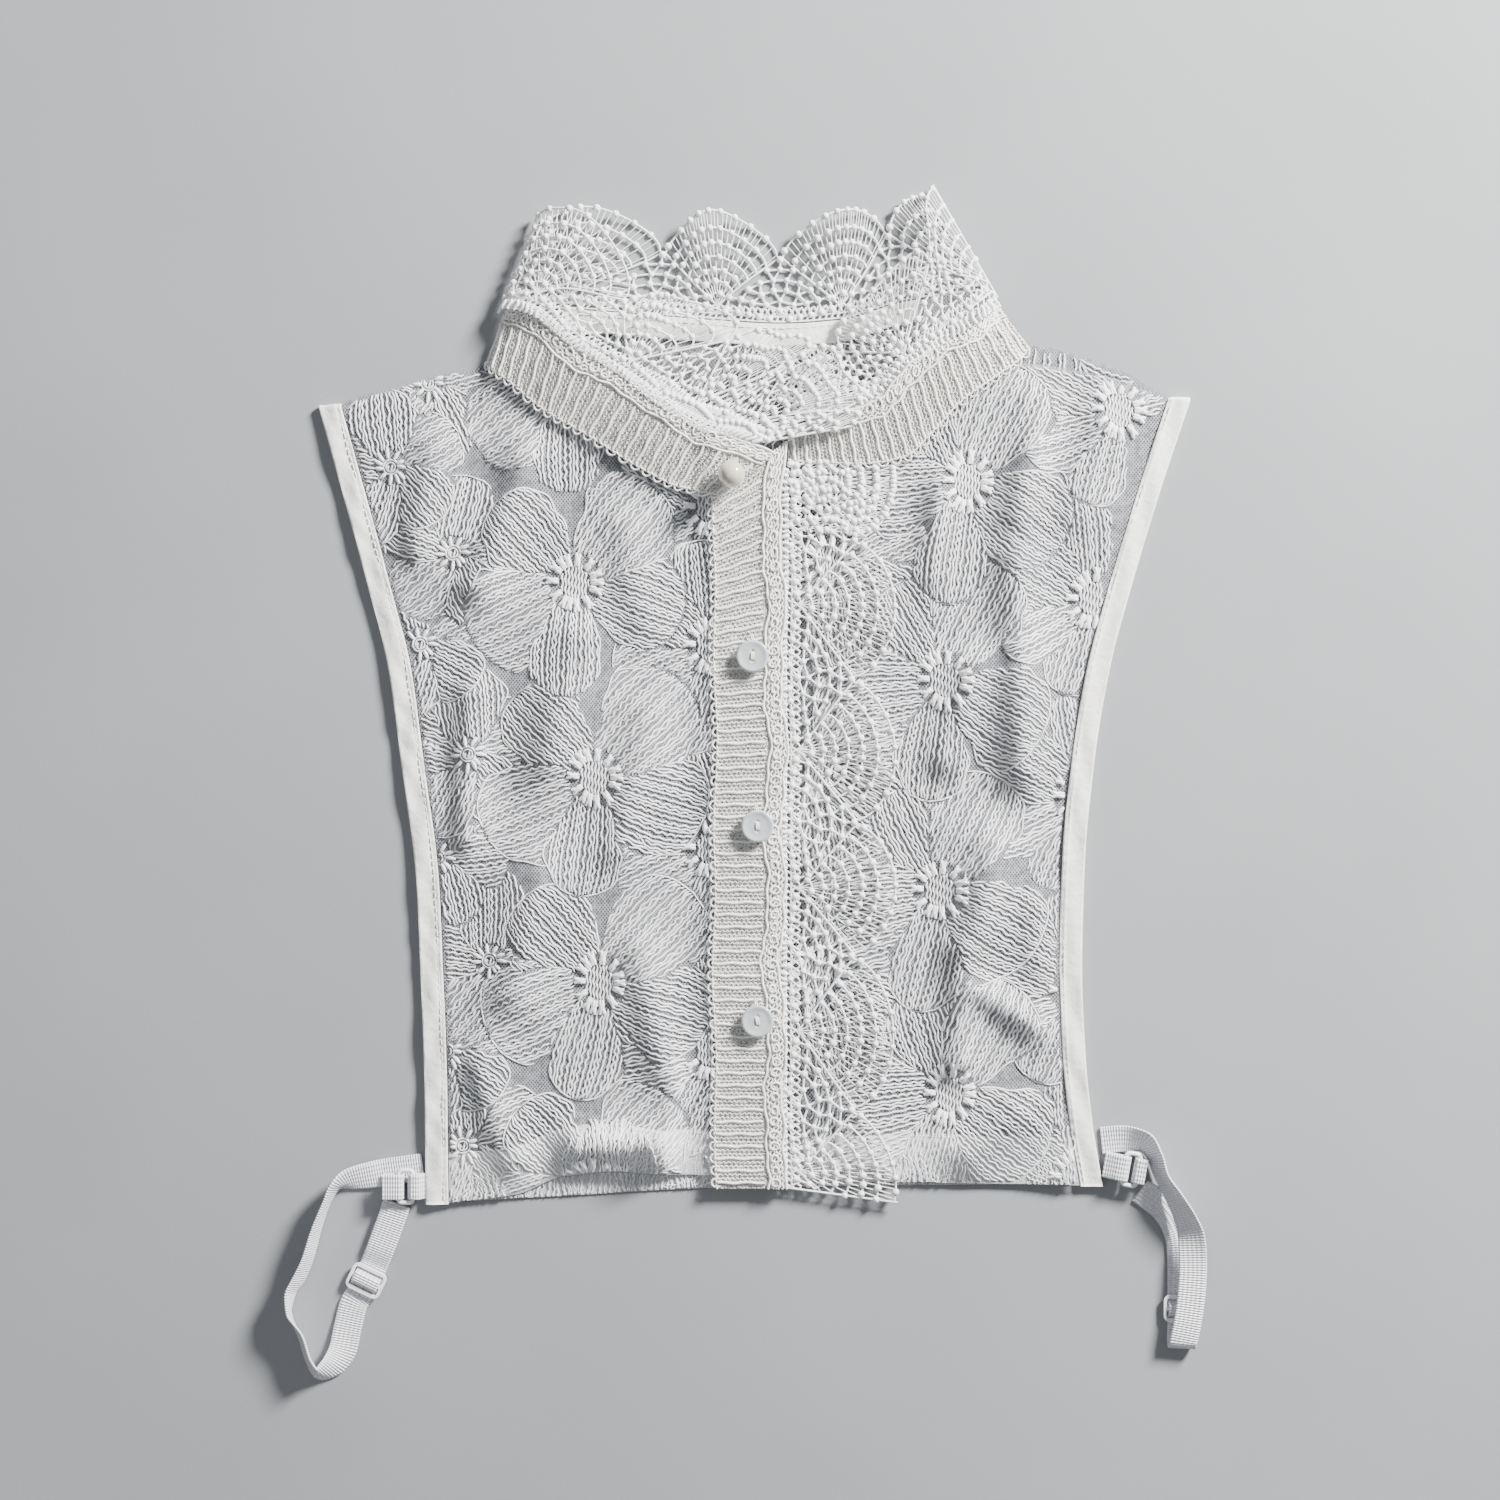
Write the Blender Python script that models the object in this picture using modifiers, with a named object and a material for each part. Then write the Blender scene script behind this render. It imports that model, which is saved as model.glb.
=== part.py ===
"""Detachable collar of white lace, laid flat and buttoned.

The back panel lies on the ground and the two fronts lie on it. A ribbed lace trim covers the
button edge and the neck seam. A scalloped lace frill runs down the front and stands as the collar.
Elastic straps with sliders join the bottom corners of the fronts to those of the back.

Lengths in the tables and functions are millimetres, with X to the right, Y towards the collar and
Z up from the ground. The finished meshes are in metres.
"""

import math

import bmesh
import bpy
import numpy as np

MM = 0.001

# Cloth and seams
CLOTH = 1.0  # wall of the embroidered net and of the scalloped lace
GAP = 0.3  # between pieces at a seam
TRIM_GAP = 0.8  # under a collar trim, which bridges the hollows of the front
TRIM = 1.1  # wall of the ribbed trim
RIB_PITCH = 5.4
RIB_RISE = 0.5
PICOT = 1.0  # how far the trim's loops stand out and in along its edge
TAPE = 1.0
BINDING_WIDTH = 8.2
BINDING_WALL = 1.1
FRONT_LIFT = CLOTH + GAP  # underside of a front panel where it lies on the back panel
OVERLAP_STEP = 1.5  # how much higher the left front lies where it laps over the right one

# Scalloped lace
LACE_VALLEY = 26.0  # from the seam to a valley between two scallops
SCALLOP_DEPTH = 15.5
SCALLOP_ROUNDNESS = 0.55  # half a circle is 0.5 and a pointed arch is 1
CELLS_PER_SCALLOP = 9  # open cells along each scallop's rim
BAR_SHARE = 0.3  # of a cell's width that is thread
RIM_ROWS = (0.0, 0.42, 0.77, 0.93, 1.0)  # share of the lace's width; the third row is open
OPEN_ROW = 2

# Fastenings and straps
BUTTON_DIAMETER = 11.6
PEARL_DIAMETER = 9.6
STRAP_WIDTH = 10.0
STRAP_WALL = 1.0
RING_BAR = 1.6

PLACKET_LEFT = -12.0
PLACKET_RIGHT = 13.6
PLACKET_TOP = 102.4  # y of its upper left corner
PLACKET_SLANT = 18.5  # how much higher its upper right corner lies
HEM_Y = -147.0

# Outer edge of each armhole binding: y, x
LEFT_EDGE = (
    (-153.0, -115.5),
    (-110.0, -116.0),
    (-68.0, -117.5),
    (-36.0, -119.0),
    (7.0, -124.5),
    (40.0, -129.0),
    (72.0, -137.0),
    (105.0, -146.0),
    (134.0, -154.0),
)
RIGHT_EDGE = (
    (-146.5, 128.5),
    (-122.0, 124.5),
    (-100.0, 122.3),
    (-68.0, 121.0),
    (-30.0, 122.0),
    (7.0, 125.5),
    (40.0, 131.0),
    (72.0, 139.5),
    (105.0, 149.5),
    (136.5, 160.0),
)

# Top and bottom of each panel, by the share of its width from its left side: share, y
BACK_TOP = (
    (0.0, 136.0),
    (0.08, 141.5),
    (0.165, 149.0),
    (0.185, 156.0),
    (0.20, 166.0),
    (0.215, 169.0),
    (0.268, 169.5),
    (0.375, 167.4),
    (0.456, 165.6),
    (0.530, 164.4),
    (0.604, 165.8),
    (0.682, 172.4),
    (0.783, 176.0),
    (0.80, 168.0),
    (0.816, 160.5),
    (0.83, 157.5),
    (0.87, 155.0),
    (0.94, 148.3),
    (1.0, 138.0),
)
BACK_BOTTOM = ((0.0, -152.5), (0.2, -150.0), (0.4, -147.5), (0.7, -146.5), (1.0, -146.0))
LEFT_TOP = (
    (0.0, 136.0),
    (0.12, 141.5),
    (0.28, 147.0),
    (0.335, 146.4),
    (0.37, 150.4),
    (0.41, 155.0),
    (0.50, 147.5),
    (0.62, 137.0),
    (0.74, 127.0),
    (0.82, 119.0),
    (0.90, 115.0),
    (1.0, 114.0),
)
LEFT_BOTTOM = (
    (0.0, -152.5),
    (0.20, -149.5),
    (0.34, -143.0),
    (0.5, -141.0),
    (0.62, -142.0),
    (0.78, -142.5),
    (1.0, -146.0),
)
RIGHT_TOP = (
    (0.0, 113.5),
    (0.12, 114.5),
    (0.24, 118.0),
    (0.34, 125.5),
    (0.43, 137.0),
    (0.50, 147.0),
    (0.56, 153.0),
    (0.62, 153.0),
    (0.655, 150.0),
    (0.70, 149.5),
    (0.84, 146.0),
    (1.0, 138.0),
)
RIGHT_BOTTOM = ((0.0, -145.5), (0.4, -145.0), (0.7, -145.5), (1.0, -146.0))

# Neck seam of each front, from the shoulder fold to the buttons: x, y, rise of the cloth there
NECK_LEFT = (
    (-86.0, 166.0, 0.2),
    (-80.0, 163.0, 3.5),
    (-66.0, 152.0, 6.0),
    (-46.0, 139.5, 6.5),
    (-30.0, 129.5, 6.5),
    (-18.0, 121.5, 5.5),
    (-3.0, 117.5, 4.0),
    (14.0, 116.0, 3.0),
)
NECK_RIGHT = (
    (90.0, 168.0, 0.2),
    (82.0, 160.0, 4.0),
    (69.0, 151.0, 6.5),
    (58.0, 142.0, 6.5),
    (48.0, 133.0, 6.0),
    (38.0, 126.0, 5.0),
    (25.0, 121.0, 3.5),
    (-3.0, 117.5, 2.6),
)
NECK_SPREAD = 26.0

# Soft folds, as ridges between two points: x0, y0, x1, y1, half width, height
FOLDS_LEFT = (
    (-78.0, 116.0, -96.0, 70.0, 11.0, 5.2),
    (-112.0, 118.0, -118.0, 84.0, 10.0, 3.2),
    (-60.0, 50.0, -70.0, 8.0, 13.0, 4.2),
    (-98.0, 30.0, -101.0, -20.0, 8.0, 3.4),
    (-44.0, 92.0, -38.0, 60.0, 12.0, 3.0),
    (-36.0, 22.0, -46.0, -24.0, 12.0, 3.4),
    (-74.0, -36.0, -84.0, -76.0, 12.0, 4.0),
    (-38.0, -62.0, -30.0, -100.0, 11.0, 3.6),
    (-60.0, -131.0, -34.0, -130.0, 9.0, 5.0),
    (-96.0, -104.0, -84.0, -136.0, 9.0, 3.2),
    (-24.0, -110.0, -30.0, -136.0, 6.0, 3.0),
)
FOLDS_RIGHT = (
    (104.0, 134.0, 98.0, 96.0, 10.0, 5.0),
    (128.0, 128.0, 118.0, 96.0, 9.0, 3.0),
    (97.0, 78.0, 99.0, 4.0, 11.0, 6.2),
    (82.0, 40.0, 72.0, 8.0, 9.0, 3.4),
    (88.0, -24.0, 84.0, -52.0, 11.0, 5.0),
    (78.0, -62.0, 76.0, -100.0, 8.0, 4.6),
    (84.0, -76.0, 110.0, -92.0, 6.0, 3.6),
    (106.0, -48.0, 108.0, -64.0, 8.0, 3.0),
    (96.0, -120.0, 80.0, -134.0, 10.0, 3.6),
    (70.0, 104.0, 66.0, 74.0, 9.0, 3.0),
)

# Ribbed trim on the neck seam: share, outer x, outer y, inner x, inner y, rise of the inner edge
TRIM_LEFT = (
    (0.0, -94.5, 149.5, -87.0, 168.0, -6.0),
    (0.05, -92.5, 147.5, -85.5, 169.5, 0.8),
    (0.15, -86.0, 142.8, -78.5, 168.0, 2.0),
    (0.3, -73.5, 132.5, -64.5, 158.0, 2.0),
    (0.5, -57.0, 122.8, -44.0, 145.0, 1.6),
    (0.7, -37.5, 110.8, -25.5, 132.5, 1.6),
    (0.85, -24.5, 104.6, -11.0, 125.3, 1.4),
    (1.0, -13.8, 103.0, 6.5, 118.0, 0.6),
)
TRIM_RIGHT = (
    (0.0, 15.0, 114.5, 15.0, 124.0, 0.2),
    (0.12, 27.0, 113.3, 25.0, 128.8, 0.6),
    (0.28, 42.5, 112.8, 38.0, 132.8, 1.0),
    (0.42, 57.0, 115.2, 49.0, 139.0, 1.4),
    (0.56, 67.0, 124.0, 59.0, 148.5, 1.8),
    (0.70, 77.5, 135.2, 69.0, 157.0, 2.0),
    (0.86, 91.0, 145.0, 80.5, 164.0, 2.0),
    (0.95, 99.0, 151.0, 87.5, 170.0, 0.8),
    (1.0, 102.5, 155.5, 91.0, 170.5, -6.0),
)
FOLD_FOOT = FRONT_LIFT  # height of a trim where it folds down over the back

# Scalloped lace: scallop number, seam x, seam y, seam z, then valley x, y, z
LACE_BACK = (
    (0.2, -86.5, 169.6, 0.0, -77.6, 192.2, 0.0),
    (0.5, -66.0, 170.0, 0.0, -60.7, 193.4, 0.6),
    (1.0, -34.0, 168.0, 0.0, -30.0, 190.4, 0.0),
    (1.5, -10.0, 166.2, 0.0, -11.5, 191.0, 0.8),
    (2.0, 12.0, 165.0, 0.0, 12.2, 188.6, 0.0),
    (2.5, 34.0, 166.4, 0.0, 34.0, 191.0, 0.8),
    (3.0, 57.0, 173.0, 0.0, 51.0, 197.0, 0.0),
    (3.5, 87.0, 176.8, 0.0, 72.3, 198.8, 0.0),
)
LACE_LEFT = (
    (0.2, -88.3, 170.4, 1.3, -79.4, 193.0, 1.3),
    (0.3, -86.5, 171.5, 5.5, -77.5, 193.5, 5.0),
    (0.5, -76.8, 169.3, 10.6, -66.5, 191.5, 8.6),
    (1.0, -62.4, 158.2, 11.2, -43.0, 171.5, 8.8),
    (1.5, -43.6, 146.3, 11.2, -31.5, 163.0, 8.0),
    (2.0, -31.6, 138.2, 11.2, -6.0, 157.5, 6.8),
    (2.5, -21.8, 131.6, 10.8, 1.0, 149.0, 7.0),
    (3.0, -12.6, 127.3, 10.6, 17.0, 149.5, 9.8),
    (3.5, -3.4, 124.8, 10.6, 21.0, 138.5, 10.4),
    (4.0, 2.6, 122.6, 10.4, 33.5, 131.5, 10.6),
    (4.3, 6.0, 120.6, 10.2, 27.0, 124.2, 10.6),
)
LACE_RIGHT = (
    (-3.2, 21.0, 129.6, 6.4, 8.0, 138.5, 3.2),
    (-2.5, 33.6, 133.1, 7.4, 24.0, 145.5, 2.8),
    (-2.0, 48.6, 140.4, 8.4, 34.0, 154.0, 3.0),
    (-1.5, 58.4, 149.7, 10.2, 48.2, 164.5, 5.2),
    (-1.0, 71.5, 160.0, 11.0, 65.5, 186.5, 8.4),
    (-0.7, 82.0, 167.0, 10.4, 70.0, 193.0, 8.6),
    (-0.55, 88.6, 172.4, 5.5, 74.2, 198.0, 5.0),
    (-0.5, 90.6, 173.8, 1.3, 76.0, 199.2, 1.3),
)
FRILL = (
    (-0.6, 14.4, 111.5, 0.0, 39.0, 112.0, 0.0),
    (0.0, 14.6, 88.0, 0.0, 40.0, 86.0, 0.0),
    (1.0, 14.0, 37.0, 0.0, 39.0, 36.0, 0.0),
    (2.0, 14.0, -15.0, 0.0, 40.0, -15.5, 0.0),
    (3.0, 14.0, -63.0, 0.0, 39.0, -63.5, 0.0),
    (4.0, 14.0, -117.0, 0.0, 39.0, -119.0, 0.0),
    (4.65, 14.2, -147.0, 0.0, 40.0, -150.5, 0.0),
)

# Elastic straps: x, y, z, roll in degrees. Roll 0 lies flat and 90 stands on its edge.
# Each strap runs from its ring through its slider, and then round to the back.
LEFT_TO_SLIDER = (
    (-131.4, -167.8, 0.6, 0.0),
    (-130.2, -164.0, 0.6, 0.0),
    (-128.8, -160.5, 0.7, 0.0),
    (-126.7, -154.9, 0.7, 0.0),
    (-126.0, -153.0, 1.45, 0.0),
    (-126.7, -154.9, 2.2, 0.0),
    (-128.6, -160.5, 2.3, 0.0),
    (-131.6, -168.5, 2.3, 0.0),
)
LEFT_TO_BACK = (
    (-141.6, -189.0, 0.6, 0.0),
    (-143.9, -198.0, 0.7, 3.0),
    (-145.5, -205.5, 1.6, 12.0),
    (-149.0, -211.0, 3.0, 32.0),
    (-153.6, -213.6, 4.2, 56.0),
    (-157.4, -208.4, 4.8, 68.0),
    (-160.0, -200.0, 5.0, 70.0),
    (-164.3, -191.0, 5.2, 88.0),
    (-163.8, -185.0, 5.1, 102.0),
    (-160.9, -179.6, 4.9, 110.0),
    (-157.7, -172.5, 5.0, 106.0),
    (-154.6, -162.0, 5.1, 102.0),
    (-151.0, -152.5, 5.1, 98.0),
    (-147.6, -146.4, 4.8, 110.0),
    (-143.2, -143.9, 3.2, 142.0),
    (-135.5, -142.6, 1.2, 168.0),
    (-129.0, -141.6, 0.6, 180.0),
    (-116.7, -139.9, 0.6, 180.0),
)
RIGHT_TO_SLIDER = (
    (142.0, -148.2, 2.2, 20.0),
    (145.6, -150.6, 1.2, 8.0),
    (150.4, -154.4, 0.6, 0.0),
    (154.6, -160.6, 0.6, 0.0),
    (156.6, -168.0, 0.6, 0.0),
    (157.0, -177.0, 0.6, 0.0),
)
RIGHT_TO_BACK = (
    (156.9, -198.5, 0.6, 0.0),
    (156.8, -202.6, 0.8, 0.0),
    (156.8, -204.4, 2.6, 0.0),
    (157.0, -202.4, 4.6, 0.0),
    (158.6, -194.0, 5.4, 0.0),
    (159.8, -185.0, 5.4, 2.0),
    (160.4, -175.0, 5.2, 4.0),
    (159.9, -165.0, 5.6, 22.0),
    (157.4, -157.2, 6.2, 42.0),
    (153.4, -149.6, 6.4, 56.0),
    (149.0, -142.0, 5.4, 66.0),
    (146.4, -134.6, 4.9, 60.0),
    (142.2, -130.2, 3.4, 30.0),
    (136.0, -129.6, 1.4, 8.0),
    (128.2, -130.4, 0.6, 0.0),
)
SLIDER_LENGTH = 10.0
SLIDER_WIDTH = 13.2
SLIDER_THICKNESS = 1.0
SLIDER_BAR = 1.5
SLIDER_SLOT_WIDTH = 10.8
SLIDER_LEFT = (-137.0, -180.6, 1.9, 64.0)  # x, y, z, turn about Z
SLIDER_RIGHT = (157.0, -190.6, 1.9, 90.0)
RING_LEFT = (-122.4, -146.3, 3.9, 0.0)
RING_RIGHT = (138.5, -140.2, 3.9, -10.0)
RING_HALF = (2.6, 5.8)
LOOP_WIDTH = 9.2
LOOP_RADIUS = 1.5  # from the ring's bar to the middle of the elastic round it

# Middle of each button: x, y
BUTTONS = ((2.2, 44.3), (4.0, -16.6), (4.0, -86.4))
PEARL = (-5.2, 108.6)


# Curves and heights


def along(table, at):
    """The columns after the first, smoothly interpolated at values of the first."""
    rows = np.asarray(table, float)
    key, value = rows[:, 0], rows[:, 1:]
    rise = np.diff(value, axis=0) / np.diff(key)[:, None]
    slope = np.zeros_like(value)
    slope[0], slope[-1] = rise[0], rise[-1]
    # The harmonic mean of the slopes on each side, so that nothing overshoots
    product = rise[1:] * rise[:-1]
    total = rise[1:] + rise[:-1]
    slope[1:-1] = np.where(product > 0, 2 * product / np.where(total == 0, 1, total), 0)
    at = np.clip(np.asarray(at, float), key[0], key[-1])
    i = np.clip(np.searchsorted(key, at, side="right") - 1, 0, len(key) - 2)
    step = (key[i + 1] - key[i])[..., None]
    t = (at - key[i])[..., None] / step
    return (
        value[i] * (1 + 2 * t) * (1 - t) ** 2
        + value[i + 1] * t * t * (3 - 2 * t)
        + step * t * (1 - t) * (slope[i] * (1 - t) - slope[i + 1] * t)
    )


def ease(t):
    """0 below 0, 1 above 1, and a smooth rise between."""
    t = np.clip(t, 0, 1)
    return t * t * (3 - 2 * t)


def ridges(folds, x, y):
    """Height of soft ridges, each a round-ended swelling between its two points."""
    height = np.zeros_like(x)
    for x0, y0, x1, y1, half_width, rise in folds:
        length = math.hypot(x1 - x0, y1 - y0)
        t = ((x - x0) * (x1 - x0) + (y - y0) * (y1 - y0)) / length**2
        t = np.clip(t, 0, 1)
        away = np.hypot(x - x0 - t * (x1 - x0), y - y0 - t * (y1 - y0))
        height += rise * np.exp(-((away / half_width) ** 2))
    return height


def neck_rise(neck, x, y):
    """How far the cloth is lifted by the collar that stands on its neck seam."""
    keyed = [(i, *row) for i, row in enumerate(neck)]
    line = along(keyed, np.linspace(0, len(neck) - 1, 60))
    away = np.hypot(x[..., None] - line[:, 0], y[..., None] - line[:, 1])
    nearest = away.argmin(-1)
    distance = np.take_along_axis(away, nearest[..., None], -1)[..., 0]
    return line[nearest, 2] * np.exp(-((distance / NECK_SPREAD) ** 2))


def left_edge(y):
    return along(LEFT_EDGE, y)[..., 0]


def right_edge(y):
    return along(RIGHT_EDGE, y)[..., 0]


def left_front_height(x, y):
    """Underside of the left front."""
    calm = ease((x - left_edge(y) - BINDING_WIDTH) / 14) * ease((PLACKET_LEFT - 3 - x) / 16)
    lap = OVERLAP_STEP * ease((x - PLACKET_LEFT + 9) / 9)
    hem = ease((y + 152) / 10)
    folds = ridges(FOLDS_LEFT, x, y) * calm * hem
    near_neck = ease(1 - neck_rise(NECK_LEFT, x, y) / 4)
    return FRONT_LIFT + lap + folds * near_neck + neck_rise(NECK_LEFT, x, y)


def right_front_height(x, y):
    """Underside of the right front."""
    calm = ease((right_edge(y) - BINDING_WIDTH - x) / 14) * ease((x - 54) / 16)
    hem = ease((y + 150) / 10)
    folds = ridges(FOLDS_RIGHT, x, y) * calm * hem
    near_neck = ease(1 - neck_rise(NECK_RIGHT, x, y) / 4)
    return FRONT_LIFT + folds * near_neck + neck_rise(NECK_RIGHT, x, y)


def lace_width(scallop):
    """From the seam to the scalloped edge, at a scallop number."""
    phase = np.mod(scallop, 1.0)
    return LACE_VALLEY + SCALLOP_DEPTH * np.sin(np.pi * phase) ** SCALLOP_ROUNDNESS


# Meshes


def material(name, colour, roughness, metallic=0.0):
    made = bpy.data.materials.new(name)
    made.use_nodes = True
    shader = made.node_tree.nodes["Principled BSDF"]
    shader.inputs["Base Color"].default_value = (*colour, 1)
    shader.inputs["Roughness"].default_value = roughness
    shader.inputs["Metallic"].default_value = metallic
    return made


def add_object(name, data, look, collection):
    made = bpy.data.objects.new(name, data)
    data.materials.append(look)
    collection.objects.link(made)
    return made


def grid_faces(rows, columns, holes=()):
    """Quads of a grid of points, without the cells in holes."""
    return [
        (
            i * columns + j,
            (i + 1) * columns + j,
            (i + 1) * columns + j + 1,
            i * columns + j + 1,
        )
        for i in range(rows - 1)
        for j in range(columns - 1)
        if (i, j) not in holes
    ]


def cloth(name, grid, wall, look, collection, holes=(), offset=1.0):
    """A wall of cloth on a grid of points: an open surface with Solidify."""
    rows, columns = grid.shape[:2]
    mesh = bpy.data.meshes.new(name)
    points = (grid.reshape(-1, 3) * MM).tolist()
    mesh.from_pydata(points, [], grid_faces(rows, columns, holes))
    made = add_object(name, mesh, look, collection)
    mesh.shade_smooth()
    mesh.set_sharp_from_angle(angle=math.radians(50))
    solidify = made.modifiers.new("Wall", "SOLIDIFY")
    solidify.thickness = wall * MM
    solidify.offset = offset
    solidify.use_even_offset = False
    return made


def normals(grid):
    """Unit normals of a grid of points."""
    across = np.cross(np.gradient(grid, axis=0), np.gradient(grid, axis=1))
    return across / np.linalg.norm(across, axis=-1, keepdims=True)


def raised_cloth(name, grid, wall, look, collection):
    """A wall with a plain inside and a raised outside. wall is its thickness at each point."""
    rows, columns = grid.shape[:2]
    outside = grid + normals(grid) * wall[..., None]
    count = rows * columns
    inner = grid_faces(rows, columns)
    faces = [tuple(reversed(face)) for face in inner]
    faces += [tuple(i + count for i in face) for face in inner]
    border = (
        [j for j in range(columns)]
        + [i * columns + columns - 1 for i in range(1, rows)]
        + [(rows - 1) * columns + j for j in range(columns - 2, -1, -1)]
        + [i * columns for i in range(rows - 2, 0, -1)]
    )
    for a, b in zip(border, border[1:] + border[:1]):
        faces.append((b, a, a + count, b + count))
    mesh = bpy.data.meshes.new(name)
    points = np.concatenate([grid.reshape(-1, 3), outside.reshape(-1, 3)]) * MM
    mesh.from_pydata(points.tolist(), [], faces)
    shell = bmesh.new()
    shell.from_mesh(mesh)
    bmesh.ops.recalc_face_normals(shell, faces=shell.faces)
    shell.to_mesh(mesh)
    shell.free()
    return add_object(name, mesh, look, collection)


# Panels


def stations(table, widest):
    """The table's own shares, with the spaces between them divided evenly."""
    keys = [row[0] for row in table]
    shares = [keys[0]]
    for start, end in zip(keys, keys[1:]):
        parts = math.ceil((end - start) / widest - 0.01)
        shares += [start + (end - start) * (n + 1) / parts for n in range(parts)]
    return np.array(shares)


def panel_grid(left, right, bottom, top, height, widest, rows):
    """Points of a panel between two side lines and its bottom and top edges."""
    shares = stations(top, widest)
    u = shares[:, None] * np.ones(rows)
    v = np.linspace(0, 1, rows) * np.ones(len(shares))[:, None]
    low = along(bottom, u)[..., 0]
    high = along(top, u)[..., 0]
    y = low + v * (high - low)
    x = left(y) + u * (right(y) - left(y))
    return np.stack([x, y, height(x, y)], -1)


def make_panels(net, collection):
    inset = BINDING_WIDTH + GAP

    def inner_left(y):
        return left_edge(y) + inset

    def inner_right(y):
        return right_edge(y) - inset

    def lap_side(y):
        return np.full_like(y, PLACKET_RIGHT - 0.2)

    def under_side(y):
        return np.full_like(y, PLACKET_LEFT + 8)

    back = panel_grid(
        inner_left, inner_right, BACK_BOTTOM, BACK_TOP, lambda x, y: x * 0, 0.08, 26
    )
    cloth("back_panel", back, CLOTH, net, collection)
    left = panel_grid(
        inner_left, lap_side, LEFT_BOTTOM, LEFT_TOP, left_front_height, 0.08, 25
    )
    cloth("front_left", left, CLOTH, net, collection)
    right = panel_grid(
        under_side, inner_right, RIGHT_BOTTOM, RIGHT_TOP, right_front_height, 0.08, 25
    )
    cloth("front_right", right, CLOTH, net, collection)


def make_neck_tape(satin, collection):
    """The tape that finishes the inside of the back neck seam."""
    share = np.linspace(0.27, 0.70, 19)
    top = along(BACK_TOP, share)[:, 0] - 0.4
    left, right = left_edge(top) + BINDING_WIDTH, right_edge(top) - BINDING_WIDTH
    x = left + share * (right - left)
    upper = np.stack([x, top, np.full_like(x, CLOTH + GAP)], -1)
    lower = upper - (0, 8.0, 0)
    grid = np.stack([lower, upper], 1)
    cloth("neck_tape", grid, TAPE, satin, collection)


def make_binding(name, edge, side, satin, collection):
    """One strip for the whole armhole: up the back, over the shoulder tip and down the front."""
    bottom, top = edge[0][0], edge[-1][0]
    rise = np.linspace(bottom, top, 22)
    low, high = 0.0, BINDING_WALL + 0.7
    turn = np.linspace(-math.pi / 2, math.pi / 2, 6)[1:-1]
    radius = (high - low) / 2
    y = np.concatenate([rise, top + radius * np.cos(turn), rise[::-1]])
    z = np.concatenate(
        [
            np.full(len(rise), low),
            low + radius + radius * np.sin(turn),
            np.full(len(rise), high),
        ]
    )
    z = z + BINDING_WALL / 2
    outer = along(edge, y)[:, 0]
    inner = outer + side * BINDING_WIDTH
    grid = np.stack([np.stack([outer, y, z], -1), np.stack([inner, y, z], -1)], 1)
    cloth(name, grid, BINDING_WALL, satin, collection, offset=0.0)


# Trims


def rib_rows(length):
    """Shares along a trim at the foot and crest of each rib, and 1 at a crest."""
    count = max(2, round(length / RIB_PITCH))
    share = np.linspace(0, 1, 2 * count + 1)
    crest = np.arange(2 * count + 1) % 2
    return share, crest.astype(float)


def trim_wall(crest, across):
    """Thickness of a ribbed trim: the ribs stop short of the heading along its inner edge."""
    ribbed = (across < 0.72).astype(float)
    heading = 0.35 * (across > 0.8)
    return TRIM + RIB_RISE * crest[:, None] * ribbed + heading * (1 - crest[:, None])


def make_placket(knit, collection):
    """The ribbed trim down the button edge."""
    length = PLACKET_TOP - HEM_Y
    share, crest = rib_rows(length)
    across = np.array([0.0, 0.30, 0.70, 0.84, 1.0])
    v = share[:, None] * np.ones(len(across))
    u = across * np.ones(len(share))[:, None]
    # The ribs lie level, and only the top end slants up to the collar
    y = HEM_Y + v * length + PLACKET_SLANT * u * v**6
    x = PLACKET_LEFT + u * (PLACKET_RIGHT - PLACKET_LEFT)
    x = x + (u == 0) * PICOT * (0.5 - crest[:, None])
    x = x + (u == 1) * 0.4 * np.sin(y / 9)
    z = left_front_height(x, y) + CLOTH + GAP
    grid = np.stack([x, y, z], -1)[:, ::-1]
    wall = trim_wall(crest, across)[:, ::-1]
    raised_cloth("placket_trim", grid, wall, knit, collection)


def make_collar_trim(name, table, height, knit, collection):
    """The ribbed trim that covers the neck seam of one front and folds down at the shoulder."""
    ends = along(table, np.array([0.0, 1.0]))
    length = math.dist(ends[0, :2], ends[1, :2])
    share, crest = rib_rows(length)
    across = np.array([0.0, 0.30, 0.70, 0.84, 1.0])
    rows = along(table, share)
    u = across[None, :, None]
    flat = rows[:, None, :2] * (1 - u) + rows[:, None, 2:4] * u
    outward = rows[:, :2] - rows[:, 2:4]
    outward /= np.linalg.norm(outward, axis=1, keepdims=True)
    flat[:, 0] += outward * PICOT * (0.5 - crest[:, None])
    x, y = flat[..., 0], flat[..., 1]
    lift = rows[:, None, 4] * across**2
    z = height(x, y) + CLOTH + TRIM_GAP + lift
    folded = rows[:, 4] < -1
    z[folded] = FOLD_FOOT
    grid = np.stack([x, y, z], -1)
    raised_cloth(name, grid, trim_wall(crest, across), knit, collection)


# Scalloped lace


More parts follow.
